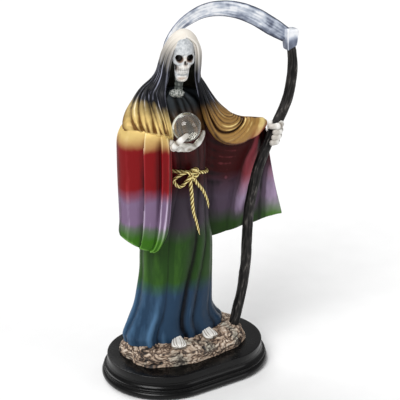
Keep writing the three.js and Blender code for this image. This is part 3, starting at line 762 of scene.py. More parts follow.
add_rope("bow_loop", route([np.add(KNOT, p) for p in bow_loop]), CORD_RADIUS)
add_rope("long_tail", route([np.add(KNOT, p) for p in long_tail]), CORD_RADIUS * 1.12, rope_end)
add_rope("short_tail", route([np.add(KNOT, p) for p in short_tail]), CORD_RADIUS * 1.05, rope_end)
knot_turns = [(-2.2, -1.0, 2.2), (0.4, -2.4, 3.2), (2.6, -1.6, 1.4), (1.4, -2.6, -2.0), (-1.8, -2.2, -3.0),
              (-2.6, -1.0, 0.2)]
add_rope("knot", route([np.add(KNOT, p) for p in knot_turns]), BELT_RADIUS)
knot_wrap = [(-3, 0, -0.6), (-1, -2.4, 0.6), (1.6, -2.6, 1.0), (3.4, 0, 0.2)]
add_rope("knot_wrap", route([np.add(KNOT, p) for p in knot_wrap]), CORD_RADIUS)

# Cloak
# One heavy cloth from the hood's peak over the shoulders: at its right it falls to the forearm, behind it
# hangs to the knees, and at its left it is spread from the outstretched arm. A thick rolled edge frames the
# face. Its folds run from the hood and are cast with the figure.
mantle_rows = [
    # height, middle x, middle y, half length, half width, lean
    [192, -2.6, 5, 40, 15, -0.1], [198, -3.6, 5, 39.6, 17, -0.12], [204, -5, 5, 37, 17.5, -0.14],
    [211, -6, 5, 33, 18, -0.14], [217, -5.3, 5, 28.8, 18, -0.12], [225, -4.2, 4.5, 21, 18, -0.08],
    [232, -2.7, 4, 17.6, 18, -0.04], [241, -1.1, 3.5, 16.6, 17.5, 0], [249, -0.4, 2.5, 15.4, 16, 0],
    [257, -0.2, 1, 12, 13.5, 0], [263, 0.4, 0.5, 7.8, 9.5, 0], [266.2, 0.8, 0.5, 3, 4, 0],
    [266.5, 0.8, 0.5, 0.02, 0.02, 0],
]
MANTLE_TURN = -18
# how strongly the cloth keeps the hood's direction and takes the hanging part's, as shares of its run
HOOD_PULL, SHOULDER_PULL = 0.9, 0.8
HOOD_FOOT = 222
HOOD_PEAK = 266.5
RIGHT_SIDE, BACK_END = 0.36, 0.70
RIGHT_ANGLE, BACK_ANGLE = -196.0, -296.0
right_rim = [[222, -124], [230, -137], [238, -144], [249, -143], [257, -138], [261.5, -121], [264.4, -95],
             [266.5, -91]]
left_rim = [[222, -46], [226, -41], [233, -41], [245, -44], [252, -41], [257, -40], [261.5, -60],
            [264.4, -87], [266.5, -89]]
cloak_falls = [
    # share across, place under the shoulder or arm (x, y, height), place at the lower edge (x, y, height)
    [0.00, -28.4, -27.5, 194.6, -26.5, -24, 188], [0.08, -36.3, -29, 197, -34, -26, 190],
    [0.16, -43, -23.8, 198.2, -39, -20.5, 191], [0.23, -48, -16.6, 198.4, -43.5, -13.5, 191],
    [0.30, -52.8, -8.4, 198.2, -47.5, -6, 190], [0.345, -56, 0, 196, -50, 2, 186],
    [0.385, -50.5, 8.5, 191, -46.5, 9.5, 114], [0.46, -38, 19, 200, -40.5, 23, 103.5],
    [0.54, -22, 24, 212, -22, 34, 95], [0.62, -4, 23, 216, 0, 34, 88], [0.70, 14, 15, 210, 20, 27, 82],
    [0.78, 30, 6, 198.5, 37, 18, 83.5], [0.85, 46, 1, 188.5, 56, 11, 88],
    [0.92, 60, -2, 182.5, 77.5, 7, 91.5], [1.00, 76, -2.2, 174, 98, 5, 93.5],
]
cloak_creases = [
    # down the cloak (1 at the hood's foot, 2 at the shoulder line, 3 at the lower edge), shares across
    [0.0, -0.02, 0.018, 0.034, 0.05, 0.10, 0.14, 0.18, 0.24, 0.30, 0.345, 0.39,
     0.44, 0.50, 0.545, 0.61, 0.67, 0.72, 0.78, 0.83, 0.88, 0.93, 0.97, 1.03],
    [0.6, -0.02, 0.02, 0.04, 0.06, 0.115, 0.15, 0.19, 0.25, 0.31, 0.345, 0.39,
     0.44, 0.50, 0.545, 0.61, 0.67, 0.72, 0.78, 0.83, 0.88, 0.93, 0.97, 1.03],
    [1.0, -0.02, 0.025, 0.05, 0.078, 0.145, 0.175, 0.222, 0.258, 0.32, 0.35, 0.39,
     0.435, 0.50, 0.54, 0.61, 0.66, 0.72, 0.78, 0.83, 0.88, 0.93, 0.97, 1.03],
    [1.25, -0.02, 0.016, 0.036, 0.055, 0.115, 0.135, 0.195, 0.245, 0.315, 0.35, 0.39,
     0.438, 0.49, 0.54, 0.605, 0.66, 0.715, 0.78, 0.825, 0.88, 0.93, 0.97, 1.03],
    [1.5, -0.02, 0.012, 0.03, 0.045, 0.098, 0.125, 0.181, 0.235, 0.305, 0.35, 0.39,
     0.442, 0.485, 0.545, 0.60, 0.665, 0.71, 0.78, 0.825, 0.88, 0.93, 0.97, 1.03],
    [2.0, -0.02, 0.014, 0.032, 0.048, 0.108, 0.15, 0.196, 0.228, 0.268, 0.345, 0.39,
     0.45, 0.49, 0.55, 0.595, 0.66, 0.71, 0.78, 0.82, 0.88, 0.93, 0.97, 1.03],
    [3.0, -0.02, 0.016, 0.036, 0.05, 0.12, 0.17, 0.207, 0.221, 0.258, 0.345, 0.398,
     0.44, 0.50, 0.536, 0.61, 0.65, 0.722, 0.77, 0.832, 0.865, 0.938, 0.965, 1.03],
]
CLOAK_STRENGTHS = [0.4, 0.8, 0.9, 1.1, 1.0, 0.55, 1.1, 1.0, 0.8, 0.2, 0.5, 1.0,
                   0.7, 1.1, 0.8, 1.0, 0.7, 1.1, 0.8, 1.0, 0.8, 0.6, 0.5]
cloak_depth = [[0.0, 0.05], [0.4, 0.2], [0.7, 0.5], [1.0, 1.2], [1.5, 2.0], [1.85, 2.7], [2.0, 2.2],
               [3.0, 2.4]]
CLOAK_THICKNESS = 3.2
LEAST_THICKNESS = 1.2
HEM_THICKNESS = 2.2
RIM_TONE = 0.8
RIM_COLUMNS = 13
HOOD_ROWS, FALL_ROWS, HANG_ROWS, HEM_ROWS = 70, 52, 56, 4
CLOAK_COLUMNS = 258


def hermite(start, start_way, end, end_way, share):
    """The cubic from start to end whose directions at its ends are start_way and end_way."""
    s = share[:, None, None]
    return ((2 * s ** 3 - 3 * s ** 2 + 1) * start + (s ** 3 - 2 * s ** 2 + s) * start_way
            + (3 * s ** 2 - 2 * s ** 3) * end + (s ** 3 - s ** 2) * end_way)


def unit_of(vectors):
    """Vectors made one long."""
    return vectors / np.maximum(np.linalg.norm(vectors, axis=-1, keepdims=True), 1e-9)


def mantle(heights, across):
    """The hood's surface at heights and shares across, from the right rim round the back to the left."""
    right, left = keyed(right_rim, heights)[..., 0], keyed(left_rim, heights)[..., 0] - 360
    front = right + (RIGHT_ANGLE - right) * across / RIGHT_SIDE
    back = RIGHT_ANGLE + (BACK_ANGLE - RIGHT_ANGLE) * (across - RIGHT_SIDE) / (BACK_END - RIGHT_SIDE)
    last = BACK_ANGLE + (left - BACK_ANGLE) * (across - BACK_END) / (1 - BACK_END)
    angle = np.where(across < RIGHT_SIDE, front, np.where(across < BACK_END, back, last))
    return oval(mantle_rows, heights, angle, MANTLE_TURN)


across = np.linspace(0, 1, CLOAK_COLUMNS)[None]
hood_heights = HOOD_PEAK - (HOOD_PEAK - HOOD_FOOT) * np.linspace(0, 1, HOOD_ROWS)[:, None] ** 1.5
hood = mantle(hood_heights + 0 * across, across + 0 * hood_heights)
foot_way = unit_of(hood[-1] - hood[-2])
falls = keyed(cloak_falls, across[0])
shoulder, lower_edge = falls[:, :3], falls[:, 3:]
reach = np.linalg.norm(shoulder - hood[-1], axis=-1, keepdims=True)
hang_way = unit_of(lower_edge - shoulder)
over_arm = smooth(across[0], 0.70, 0.80)[:, None]
fall_share = np.linspace(0, 1, FALL_ROWS + 1)[1:]
fall = hermite(hood[-1], foot_way * reach * HOOD_PULL, shoulder,
               hang_way * reach * (SHOULDER_PULL - 0.7 * over_arm), fall_share)
fall_share = fall_share[:, None, None]
fall = fall - over_arm * np.sin(np.pi * fall_share) * (1 - fall_share ** 4) * [0, -2, 3]
# the rows lie closest where the lining has its arcs
hang_share = np.interp(np.arange(1, HANG_ROWS + 1), [0, 4, 44, HANG_ROWS], [0, 0.1, 0.6, 1])
hang = shoulder + (lower_edge - shoulder) * hang_share[:, None, None]
cloak_base = np.concatenate([hood, fall, hang])
down = np.concatenate([np.linspace(0, 1, HOOD_ROWS), np.linspace(1, 2, FALL_ROWS + 1)[1:],
                       2 + hang_share])[:, None]
cloak_out = normals(cloak_base)
cloak_out[0] = (0, 0, 1)
behind = smooth(across, 0.37, 0.41)
billow = 3.0 * np.sin(np.pi * np.clip(down - 2, 0, 1)) * behind
cloak_base = cloak_base + cloak_out * billow[..., None]
share, width, number = panels(across + 0 * down, keyed(cloak_creases, down))
pits = between(down, 1.55, 1.9, 2.0, 2.04) * (1 - behind)
sunk, outer_crease = creased(share, width, number, CLOAK_STRENGTHS, down * 2.2 + 0 * across,
                             0.006 + 0.008 * pits, 2.2, 11)
hanging_wave = 1.6 * np.sin(2 * np.pi * across * 9 + 1.0) * smooth(down, 2.0, 3.0) * behind
depth = keyed(cloak_depth, down + 0 * across)[..., 0] * (0.6 + 0.4 * np.minimum(width / 0.04, 1))
broad = noise(cloak_base * [1, 1, 0.5], 12, 2, 11)
relief = 0.15 * depth - depth * sunk + 0.4 * broad * smooth(down, 0.2, 1.0) - hanging_wave
# Where the folds end over the arm they sink into pits, with painted shade in them; the paint is also darker
# along the cloak's right side where it turns to the back: painted shade.
relief = relief - 1.6 * pits * sunk
outer_crease = outer_crease - 0.6 * pits * smooth(sunk, 0.1, 0.9)
outer_crease = outer_crease - 0.42 * smooth(down, 1.3, 1.6) * hump(across, 0.345, 0.03)
outer = cloak_base + cloak_out * relief[..., None]

HIDDEN_LINING = [0.35, 0.40, 0.46, 0.52, 0.58]
lining_creases = [[place, *HIDDEN_LINING, *shares, 1.06] for place, *shares in [
    # down the cloak, shares across of the lining's creases that show
    [2.0, 0.64, 0.72, 0.80, 0.95, 0.975, 0.995], [2.28, 0.64, 0.72, 0.79, 0.908, 0.958, 0.984],
    [2.44, 0.65, 0.725, 0.785, 0.880, 0.943, 0.972], [2.6, 0.655, 0.73, 0.785, 0.860, 0.922, 0.952],
    [2.8, 0.655, 0.735, 0.78, 0.840, 0.898, 0.932], [3.0, 0.655, 0.735, 0.78, 0.826, 0.872, 0.918],
]]
LINING_STRENGTHS = [0.8, 0.8, 0.8, 0.8, 0.8, 0.7, 0.5, 0.35, 1.1, 0.9, 1.1, 0.0]
RIDGE_PANEL, EDGE_PANEL = 9, 11
swags_in_lining = [
    # middle share across, its place down the cloak, half length, bend, rise
    (0.82, 2.24, 0.11, 8, 0.6), (0.82, 2.31, 0.11, 8, 0.7), (0.81, 2.37, 0.1, 8, 0.6),
    (0.80, 2.43, 0.09, 8, 0.6), (0.795, 2.485, 0.09, 7, 0.5), (0.80, 2.555, 0.09, 7, 0.4),
]
lining_share, lining_width, lining_number = panels(across + 0 * down, keyed(lining_creases, down))
lining_sunk, lining_crease = creased(lining_share, lining_width, lining_number, LINING_STRENGTHS,
                                     down * 2 + 0 * across, 0.012, 2.4, 15)
raised = (lining_number == RIDGE_PANEL) * (1 - (2 * lining_share - 1) ** 2)
edge_panel = (lining_number == EDGE_PANEL) * smooth(lining_share, 0.0, 0.25)
lining_relief = smooth(down, 2.0, 2.25) * (1.2 * raised - 2.2 * lining_sunk)
# The raised strip is painted lighter, fading toward the hem, a painted highlight; the last panel beyond the
# handle is lighter too, painted light as on cloth turned toward the lamp.
lining_crease = 0.75 * lining_crease + 0.6 * raised * (1 - 0.6 * smooth(down, 2.7, 2.95))
lining_crease = lining_crease + 0.5 * edge_panel * smooth(down, 2.3, 2.5)
# A soft lighter zone across the arcs: a painted glow of light.
lit_cloth = hump(down, 2.4, 0.11) * between(across, 0.73, 0.79, 0.9, 0.94)
lining_crease = np.minimum(lining_crease, 0.5 + 0.5 * smooth(across, 0.8, 0.9)) + 0.2 * lit_cloth
# Darker near the top of the lining, under the left sleeve: painted shade.
lining_crease = lining_crease - 0.14 * (1 - smooth(down, 2.12, 2.28))
# Each arc is a raised fold, painted lighter on its crest, a painted highlight, and darker just under it,
# painted shade.
for middle, place, half, bend, height in swags_in_lining:
    line = place - bend * (across - middle) ** 2
    strength = 1 - smooth(np.abs(across - middle), half * 0.15, half)
    wave, under = hump(down, line, 0.02) * strength, hump(down - line, 0.035, 0.02) * strength
    lining_relief = lining_relief + height * wave
    lining_crease = lining_crease + 0.3 * height * wave - 0.22 * under
lining_crease = np.clip(np.where(down > 2.0, lining_crease, 0.4), 0, 1)
thickness = CLOAK_THICKNESS * (1 + 0.25 * smooth(1 - down, 0, 0.3)) * smooth(down, 0, 0.12)
thickness = np.maximum(thickness, HEM_THICKNESS)
thickness = thickness * (1 - 0.6 * over_arm[:, 0] * between(down, 1.6, 1.85, 2.0, 2.15))
lining_depth = np.maximum(thickness + lining_relief * smooth(across, 0.4, 0.45),
                          (LEAST_THICKNESS - relief) * smooth(down, 0.1, 0.5))
lining = cloak_base - cloak_out * lining_depth[..., None]

rim_turn = np.linspace(0, np.pi, RIM_COLUMNS + 2)[1:-1][None, :, None]


def rolled_edge(outside, inside, away):
    """A rounded edge between an outer and an inner line: half an ellipse that stands away from them, with a
    groove along its middle.
    """
    middle, half = (outside + inside)[:, None] / 2, (outside - inside)[:, None] / 2
    size = np.linalg.norm(half, axis=-1, keepdims=True)
    bulge = size * (np.sin(rim_turn) ** 0.7 - 0.5 * hump(rim_turn, np.pi / 2, 0.35))
    return middle + half * np.cos(rim_turn) + away[:, None] * bulge


left_away = unit_of(outer[:, -1] - outer[:, -3])
right_away = unit_of(outer[:, 0] - outer[:, 2])
left_away[0] = right_away[0] = 0
left_edge = rolled_edge(outer[:, -1], lining[:, -1], left_away)
right_edge = rolled_edge(lining[:, 0], outer[:, 0], right_away)
shell = np.concatenate([outer, left_edge, lining[:, ::-1], right_edge], 1)
columns, rims = CLOAK_COLUMNS, RIM_COLUMNS
opposite = np.concatenate([
    np.arange(columns)[::-1] + columns + rims, np.arange(rims)[::-1] + columns,
    np.arange(columns)[::-1], np.arange(rims)[::-1] + 2 * columns + rims,
])
last, middle = shell[-1], (shell[-1] + shell[-1][opposite]) / 2
roll = np.radians(np.linspace(0, 90, HEM_ROWS + 1)[1:])[:, None, None]
downward = unit_of(shell[-1] - shell[-2]).mean(0)
hem = middle + (last - middle) * np.cos(roll) + downward * CLOAK_THICKNESS / 2 * np.sin(roll)
shell = np.concatenate([shell, hem])


def round_shell(outer_values, lining_values=None, edge_values=None):
    """Values of the outside, the left edge, the lining and the right edge, in the order of the shell's
    columns and held over its hem. The lining and the edges take the outside's values where they have none.
    """
    outer_values = np.broadcast_to(outer_values, share.shape)
    lining_values = outer_values if lining_values is None else np.broadcast_to(lining_values, share.shape)
    if edge_values is None:
        left_values, right_values = (np.repeat(outer_values[:, k:][:, :1], rims, 1) for k in (-1, 0))
    else:
        left_values, right_values = edge_values, RIM_TONE + 0.3 * (edge_values - RIM_TONE)
    ring = np.concatenate([outer_values, left_values, lining_values[:, ::-1], right_values], 1)
    return np.concatenate([ring, np.repeat(ring[-1:], HEM_ROWS, 0)])


gold_tops_across = [[0, 227], [0.1, 231.2], [0.2, 232.8], [0.27, 233.5], [0.34, 231.5], [0.5, 227],
                    [0.8, 221], [1, 217.5]]
cloak_world = placed(shell)
outer_crease = 0.5 + (outer_crease - 0.5) * smooth(down, 0.35, 1.1) + 0.1 * broad
# The rolled edge's paint: a light tone with painted shade along its groove and toward its inner side,
# weaker at the right rim, fading to a middle tone lower down.
rim_shade = 0.62 * hump(rim_turn[..., 0], 1.3, 0.42) + 0.55 * smooth(rim_turn[..., 0], 2.3, 2.9)
edge_crease = RIM_TONE - rim_shade * smooth(down, 0.12, 0.4)
edge_crease = edge_crease + (0.45 - edge_crease) * smooth(down, 1.25, 1.6)
streaks = noise(gathered(across * 46, down * 1.6, 0), 1, 2, 14)
# Thin light streaks between the hood's foot and the arm: painted highlights, seen most on the black cloth.
highlight_streaks = noise(gathered(across * 95, down * 3.0, 0), 1, 1, 16)
highlight_streak_zone = between(down, 0.25, 0.7, 1.25, 1.6)
plain_crease = outer_crease
outer_crease = np.clip(outer_crease + highlight_streak_zone * (0.55 * smooth(highlight_streaks, -0.1, 0.65) - 0.12), 0, 1)
cloak_crease = round_shell(outer_crease, lining_crease, edge_crease)
inside = round_shell(0.0, 1.0)
gold_tops = round_shell(keyed(gold_tops_across, across)[..., 0])
lilac_foot = round_shell(124 + 7 * smooth(across, 0.9, 0.97))
lilac_top = round_shell(163.0, 163 + 7 * smooth(across, 0.94, 0.96))
white_foot = round_shell(266 + 5 * (1 - smooth(across, 0.3, 0.8)))
lift = (round_shell(plain_crease, lining_crease, edge_crease) - 0.5) * (
    8 - 13 * smooth(cloak_world[..., 2], 214, 224) + 10 * smooth(cloak_world[..., 2], 246, 256))
streaked = 7 * round_shell(streaks) * smooth(cloak_world[..., 2], 240, 255)
cloak_band = banded(cloak_world[..., 2] + 3 * noise(shell, 18, 2, 12) + lift + streaked,
                    (80, lilac_foot, lilac_top, 205, gold_tops, white_foot))

cloak_bands = [
    (0, 74, (20, 34, 56), (40, 66, 94), (72, 108, 142)),
    (88, 119, (18, 40, 5), (48, 98, 8), (98, 148, 58)),
    (130, 156, (66, 48, 68), (118, 96, 125), (194, 178, 202)),
    (169, 201, (48, 4, 8), (121, 8, 14), (160, 46, 52)),
    (211, 226, (112, 76, 34), (219, 189, 119), (255, 240, 190)),
    (234, 257, (4, 4, 6), (22, 23, 28), (150, 152, 170)),
    (277, 300, (104, 84, 64), (230, 223, 212), (246, 243, 238)),
]
lining_bands = [
    (0, 112, (18, 30, 12), (44, 74, 28), (84, 128, 54)),
    (124, 136, (26, 20, 28), (92, 76, 95), (190, 166, 200)),
    (158, 226, (16, 1, 1), (60, 2, 4), (164, 74, 84)),
    (236, 252, (26, 25, 20), (72, 68, 58), (104, 100, 90)),
    (268, 300, (52, 58, 60), (104, 112, 114), (150, 156, 158)),
]
cloak_paint, node = new_material("cloak_paint")
paint_height, paint_depth = paint_inputs(node)
lined = attribute(node, "inside")
gold = ramp(node, paint_height, [(0.675, 0.0), (0.71, 0.16), (0.752, 0.16), (0.785, 0.0)])
gold_outside = maths(node, "MULTIPLY", gold, maths(node, "SUBTRACT", 1.0, lined))
cloth_shade(node, mixed(node, lined, sprayed(node, cloak_bands, paint_height, paint_depth),
                        sprayed(node, lining_bands, paint_height, paint_depth)),
            0.34, Metallic=gold_outside, Specular_IOR_Level=0.13)
add_piece("cloak", surface_mesh("cloak", cloak_world, True, layers={
    "height": cloak_band / PAINT_TOP, "crease": cloak_crease, "inside": inside,
}, weld=True), cloak_paint, "figure")

# Right sleeve
# The wide sleeve that hangs from the right forearm, cast with the cloak: a flat bell with a step in its
# cloth, a deep valley and a rolled front edge, closed below by its own recess.
sleeve_rows = [
    # height, middle x, middle y, half length, half thickness, lean
    [103, -45.2, -4.2, 15.4, 6.8, 0.26], [106, -44.4, -5.4, 17.4, 7.6, 0.24],
    [115, -43.4, -7.4, 19.4, 8.4, 0.16], [130, -42.9, -8.8, 21.0, 9.0, 0.06],
    [156, -42.5, -9, 22.1, 9.4, 0], [184, -42.5, -9, 22.1, 9.9, 0], [190, -42.3, -9, 21.7, 9.9, 0],
    [195, -41.8, -8.9, 20.6, 9.6, 0], [199, -41.2, -8.6, 18.8, 8.4, 0], [202, -40.4, -7.8, 15.6, 6.2, 0],
    [206, -38, -5, 9, 3, 0],
]
SLEEVE_TURN = 123
SLEEVE_FOOT, SLEEVE_TOP = 103, 206
FOOT_RISE = 2.6
BAND_END = 186
HIDDEN_CREASES = [-150, -100, -60, -20, 30]
sleeve_creases = [[height, *HIDDEN_CREASES, *angles] for height, *angles in [
    # height, angles of the creases that show, round the sleeve's own middle
    [103, 102.5, 130, 133, 176], [112, 101, 131, 134.5, 178], [122, 100.4, 132, 137.5, 180],
    [137, 101.5, 133, 137.8, 182], [160, 101.5, 135.3, 140.7, 184], [186, 102.5, 136.4, 141.2, 186],
    [206, 103, 137, 142, 186],
]]
sleeve_rim = [[103, 145], [112, 148.4], [122, 153.8], [137, 156], [153, 158], [178, 160.4], [206, 161]]
sleeve_height = np.linspace(SLEEVE_FOOT, SLEEVE_TOP, 190)[:, None]
sleeve_angle = ring_angles(330, -180)
at = sleeve_height + 0 * sleeve_angle
sleeve = oval(sleeve_rows, at, sleeve_angle + 0 * at, SLEEVE_TURN, 2.4 + 1.4 * (1 - smooth(at, 104, 125)))
rising = (1 - smooth(sleeve_angle, 42, 100)) * (1 - smooth(sleeve_height, SLEEVE_FOOT, 124))
sleeve[..., 2] += FOOT_RISE * rising
sleeve_out = normals(sleeve, True)
creases = keyed(sleeve_creases, sleeve_height)
share, width, number = panels(sleeve_angle + 0 * at, creases, 360)
fold = 1 - np.abs(2 * share - 1) ** 2.2
step_angle, valley, band = creases[..., 5], creases[..., 6], creases[..., 7]
flat = 1 - smooth(sleeve_height, 188, 200)
step_share = np.clip((sleeve_angle - step_angle) / (valley - step_angle), 0, 1)
stepped = (sleeve_angle > step_angle) & (sleeve_angle < valley)
raised = np.where(stepped, 1.5 * (1 - step_share ** 1.3) - 2.2 * step_share ** 2.2, 0)
left_panel = (sleeve_angle > HIDDEN_CREASES[-1]) & (sleeve_angle <= step_angle)
raised = np.where(left_panel, -1.9 * share ** 4 + 0.7 * np.sin(np.pi * share), raised)
in_valley = (sleeve_angle >= valley) & (sleeve_angle < band)
raised = np.where(in_valley, -2.4 + 3.2 * share ** 1.3, raised)
front_band = (sleeve_angle >= band) & (sleeve_angle < BAND_END)
rim_away = sleeve_angle - keyed(sleeve_rim, sleeve_height)[..., 0]
raised = np.where(front_band, 0.8 - 0.5 * np.sin(np.pi * np.clip((sleeve_angle - band) / 18, 0, 1))
                  + 0.5 * hump(rim_away, 0, 4) - 0.05 * np.maximum(rim_away - 3, 0), raised)
hidden = ~(stepped | left_panel | in_valley | front_band)
raised = np.where(hidden, 1.2 * (fold - 0.8), raised)
broad = noise(sleeve * [1, 1, 0.3], 12, 2, 21)
raised = raised * (0.15 + 0.85 * flat) * (0.45 + 0.55 * smooth(sleeve_height, SLEEVE_FOOT, 122))
sleeve = sleeve + sleeve_out * (raised + 0.25 * broad)[..., None]
# The paint: a light worn line just past the step, then darker toward the valley and dark in it, and on the
# left panel darker toward the step and toward the left edge: painted shade. The front band is lighter along
# the rim, a worn edge line, and darker past the rim into the sleeve: painted shade. The low cloth near the
# front is lighter: painted highlight.
crease = np.where(stepped, 0.88 - 0.35 * smooth(step_share, 0, 0.2) - 0.42 * step_share ** 2.4, 0.5)
crease = np.where(left_panel, 0.5 + 0.12 * np.sin(np.pi * np.clip(share, 0, 1)) - 0.42 * share ** 7
                  - 0.3 * (1 - smooth(share, 0.1, 0.5)), crease)
crease = np.where(in_valley, 0.08 + 0.9 * share ** 2.5, crease)
crease = np.where(front_band, 0.42 + 0.42 * hump(rim_away, 0, 3.2) + 0.36 * hump(sleeve_angle, band, 2.5)
                  - 0.3 * smooth(rim_away, 5, 14), crease)
crease = np.where(hidden, fold * 0.6 + 0.1, crease)
low_cloth = 1 - smooth(sleeve_height, 116, 158)
crease = crease + 0.17 * low_cloth * between(sleeve_angle, 96, 125, 175, BAND_END)
sleeve_streaks = noise(gathered(at * 0.02, sleeve_angle * 0.16, 0), 1, 2, 24)
crease = crease + 0.14 * sleeve_streaks * (1 - smooth(sleeve_height, 150, 175)) + 0.06 * sleeve_streaks
hem_line = hump(sleeve_height, SLEEVE_FOOT, 1.2)
crease = crease * (0.35 + 0.65 * flat) + 0.5 * (1 - flat) * 0.75 + 0.1 * broad
crease = np.clip(crease + 0.4 * hem_line, 0, 1)
RECESS_ROWS = 13
RECESS_HEIGHT = 12
recess_depth = np.linspace(0, 1, RECESS_ROWS + 1)[1:, None, None]
foot_ring = sleeve[:1]
foot_middle = foot_ring.mean(1, keepdims=True)
inward = foot_middle + (foot_ring - foot_middle) * (0.86 - 0.06 * recess_depth)
inward = inward + [0, 0, RECESS_HEIGHT] * recess_depth
lip = foot_middle + (foot_ring - foot_middle) * 0.93 - [0, 0, 0.8]
sleeve = np.concatenate([inward[::-1], lip, sleeve])
# The recess underneath is painted dark: painted shade.
crease = np.concatenate([np.full((RECESS_ROWS + 1, crease.shape[1]), 0.15), crease])
sleeve_band = banded(placed(sleeve)[..., 2] + 2.5 * noise(sleeve, 20, 2, 22) + (crease - 0.5) * 4,
                     (60, 138, 165 - 2.5 * (1 - smooth(sleeve_angle, 60, 100)), 208, 240, 280))
cast("right_sleeve", sleeve, {"height": sleeve_band / PAINT_TOP, "crease": crease, "inside": 0 * crease},
     cloak_paint)

# Left sleeve
# The cloth gathered along the outstretched left arm: nested folds swing from the shoulder to the wrist.
swag_rows = [
    # share along, upper edge x, y, height, lower edge x, y, height
    [0, 10, -4, 232, 5, -11.5, 227], [0.12, 16, -5, 222.5, 6.6, -14.3, 214.5],
    [0.25, 21, -5, 214.5, 9.2, -15.6, 202.3], [0.38, 27, -5, 206.5, 13, -16.2, 191],
    [0.5, 33.5, -5.5, 200, 19.8, -16.5, 179.6], [0.62, 41, -6, 194.2, 31, -16.5, 172.5],
    [0.74, 50, -6.8, 190, 43, -15.7, 170.5], [0.87, 61, -7.6, 187.4, 57, -14, 172.7],
    [0.96, 69, -8, 185, 67, -12, 175.5], [1, 72.5, -8, 183, 71.5, -10, 178],
]
swag_bulge = [[0, 1.2], [0.12, 3.2], [0.3, 5.0], [0.5, 6.0], [0.7, 5.8], [0.9, 4.4], [1, 1.6]]
swag_creases = [-0.05, 0.10, 0.22, 0.34, 0.45, 0.59, 0.77, 0.89, 1.05, 1.22, 1.45, 1.8]
SWAG_STRENGTHS = [0.2, 0.6, 0.9, 0.6, 1.0, 1.0, 1.4, 0.6, 0.5, 0.4, 0.3, 0.1]
SWAG_MIDDLE = 0.40
swag_run = np.linspace(0, 1, 230)[:, None]
swag_turn = ring_angles(260)
edges = keyed(swag_rows, swag_run + 0 * swag_turn)
top_edge, low_edge = edges[..., :3], edges[..., 3:]
middle, half = (top_edge + low_edge) / 2, (top_edge - low_edge) / 2
along = np.gradient(middle, axis=0)
out = unit_of(np.cross(along, half))
out = out * -np.sign(out[..., 1:2])
bulge = keyed(swag_bulge, swag_run + 0 * swag_turn)
c, s = way(swag_turn[..., None])
swag = middle + half * c + out * bulge * s * np.where(s > 0, 1.0, 1.2)
swag_out = normals(swag, True)
drop = (1 - c[..., 0]) / 2 + 0 * swag_run
front = smooth(s[..., 0], -0.1, 0.25) + 0 * swag_run
past_middle = np.maximum(swag_run - SWAG_MIDDLE, 0) + 0 * drop
hang_line = 0.8 + 0 * drop
for _ in range(8):
    hang_line = (drop ** 1.6 + (past_middle * hang_line / (0.16 + 0.22 * hang_line)) ** 1.6) ** 0.625
hang_line = hang_line + 0.012 * np.sin(9 * swag_run + 5 * drop)
share, width, number = panels(hang_line, np.broadcast_to(swag_creases, drop.shape + (len(swag_creases),)))
sunk, swag_paint = creased(share, width, number, SWAG_STRENGTHS, swag_run * 4 + 0 * drop, 0.03, 2.0, 17)
lively = smooth(swag_run, 0.0, 0.2) * (1 - 0.8 * smooth(hang_line, 1.2, 1.6)) * (1 - smooth(drop, 0.9, 1.0))
rays = np.sin(34 * swag_run + 3 * drop) * between(swag_run, 0.74, 0.85, 0.95, 1.0)
swag = swag + swag_out * ((0.5 * rays - 2.8 * lively * sunk) * front)[..., None]
# The paint: darker along the top edge and the lower edge, painted shade; lighter on the rays, painted
# highlight, and lighter toward the wrist; the folds' contrast is raised, and the hidden back takes a plain
# middle tone.
crease = (0.5 + (swag_paint - 0.5) * lively + 0.2 * rays - 0.35 * smooth(drop, 0.93, 1.0)
          + 0.12 * smooth(swag_run, 0.72, 0.84) - 0.3 * (1 - smooth(drop, 0, 0.07)))
crease = np.clip((0.5 + 1.35 * (crease - 0.5)) * front + 0.4 * (1 - front), 0, 1)
gold_foot = 186 + 14 * smooth(swag_run, 0.72, 0.92)
swag_band = banded(placed(swag)[..., 2] + 2 * noise(swag, 14, 2, 23) + (crease - 0.5) * 8,
                   (80, 124, 150, gold_foot, 222, 280))
BRONZE = (211, 226, (58, 34, 18), (160, 122, 66), (250, 224, 150))
bronze_bands = cloak_bands[:4] + [BRONZE] + cloak_bands[5:]
bronze_paint, node = new_material("bronze_paint")
paint_height, paint_depth = paint_inputs(node)
cloth_shade(node, sprayed(node, bronze_bands, paint_height, paint_depth), 0.32, Metallic=0.12,
            Specular_IOR_Level=0.2)
cast("left_sleeve", swag, {"height": swag_band / PAINT_TOP, "crease": crease}, bronze_paint)

# Head
# A skull with round sockets, an open nose and two rows of teeth, on a thin dark neck with a cluster of
# small bones at its foot. The skull is painted grey white, with amber shadows.
SKULL_AXIS, SKULL_TURN = (-2.2, -2.1), -26
NECK_AXIS, NECK_TURN = (-3, -1), -20
skull_rows = [
    # height, half width, middle to its left, middle before the axis, half depth
    [229.2, 0.3, -2.2, 8.6, 0.3], [229.8, 2.6, -2.2, 8.6, 2.6], [230.6, 3.9, -2.2, 8.4, 3.6],
    [232.5, 4.8, -2.1, 8, 4.6], [236, 5.4, -1.9, 7.2, 5.8], [239, 5.6, -1.6, 6.6, 6.6],
    [241, 6.3, -0.8, 5.5, 7.6], [244, 8, -0.2, 4, 9], [248, 8.6, 0, 2.6, 9.8], [252, 8.7, 0, 1.6, 10.6],
    [256, 8, 0, 1, 10.4], [259.5, 6.4, 0, 1, 8.6], [262, 3.8, 0, 1.2, 5.4], [263.2, 1.2, 0, 1.4, 1.8],
]
CHIN, CROWN = 229.2, 263.2
skull_height = np.linspace(CHIN, CROWN, 230)[:, None]
skull_angle = ring_angles(330, -270)
rows = keyed(skull_rows, skull_height + 0 * skull_angle)
half_width, to_left, before, half_depth = (rows[..., k] for k in range(4))
c, s = way(skull_angle)
left = to_left + half_width * c
ahead = before - half_depth * s
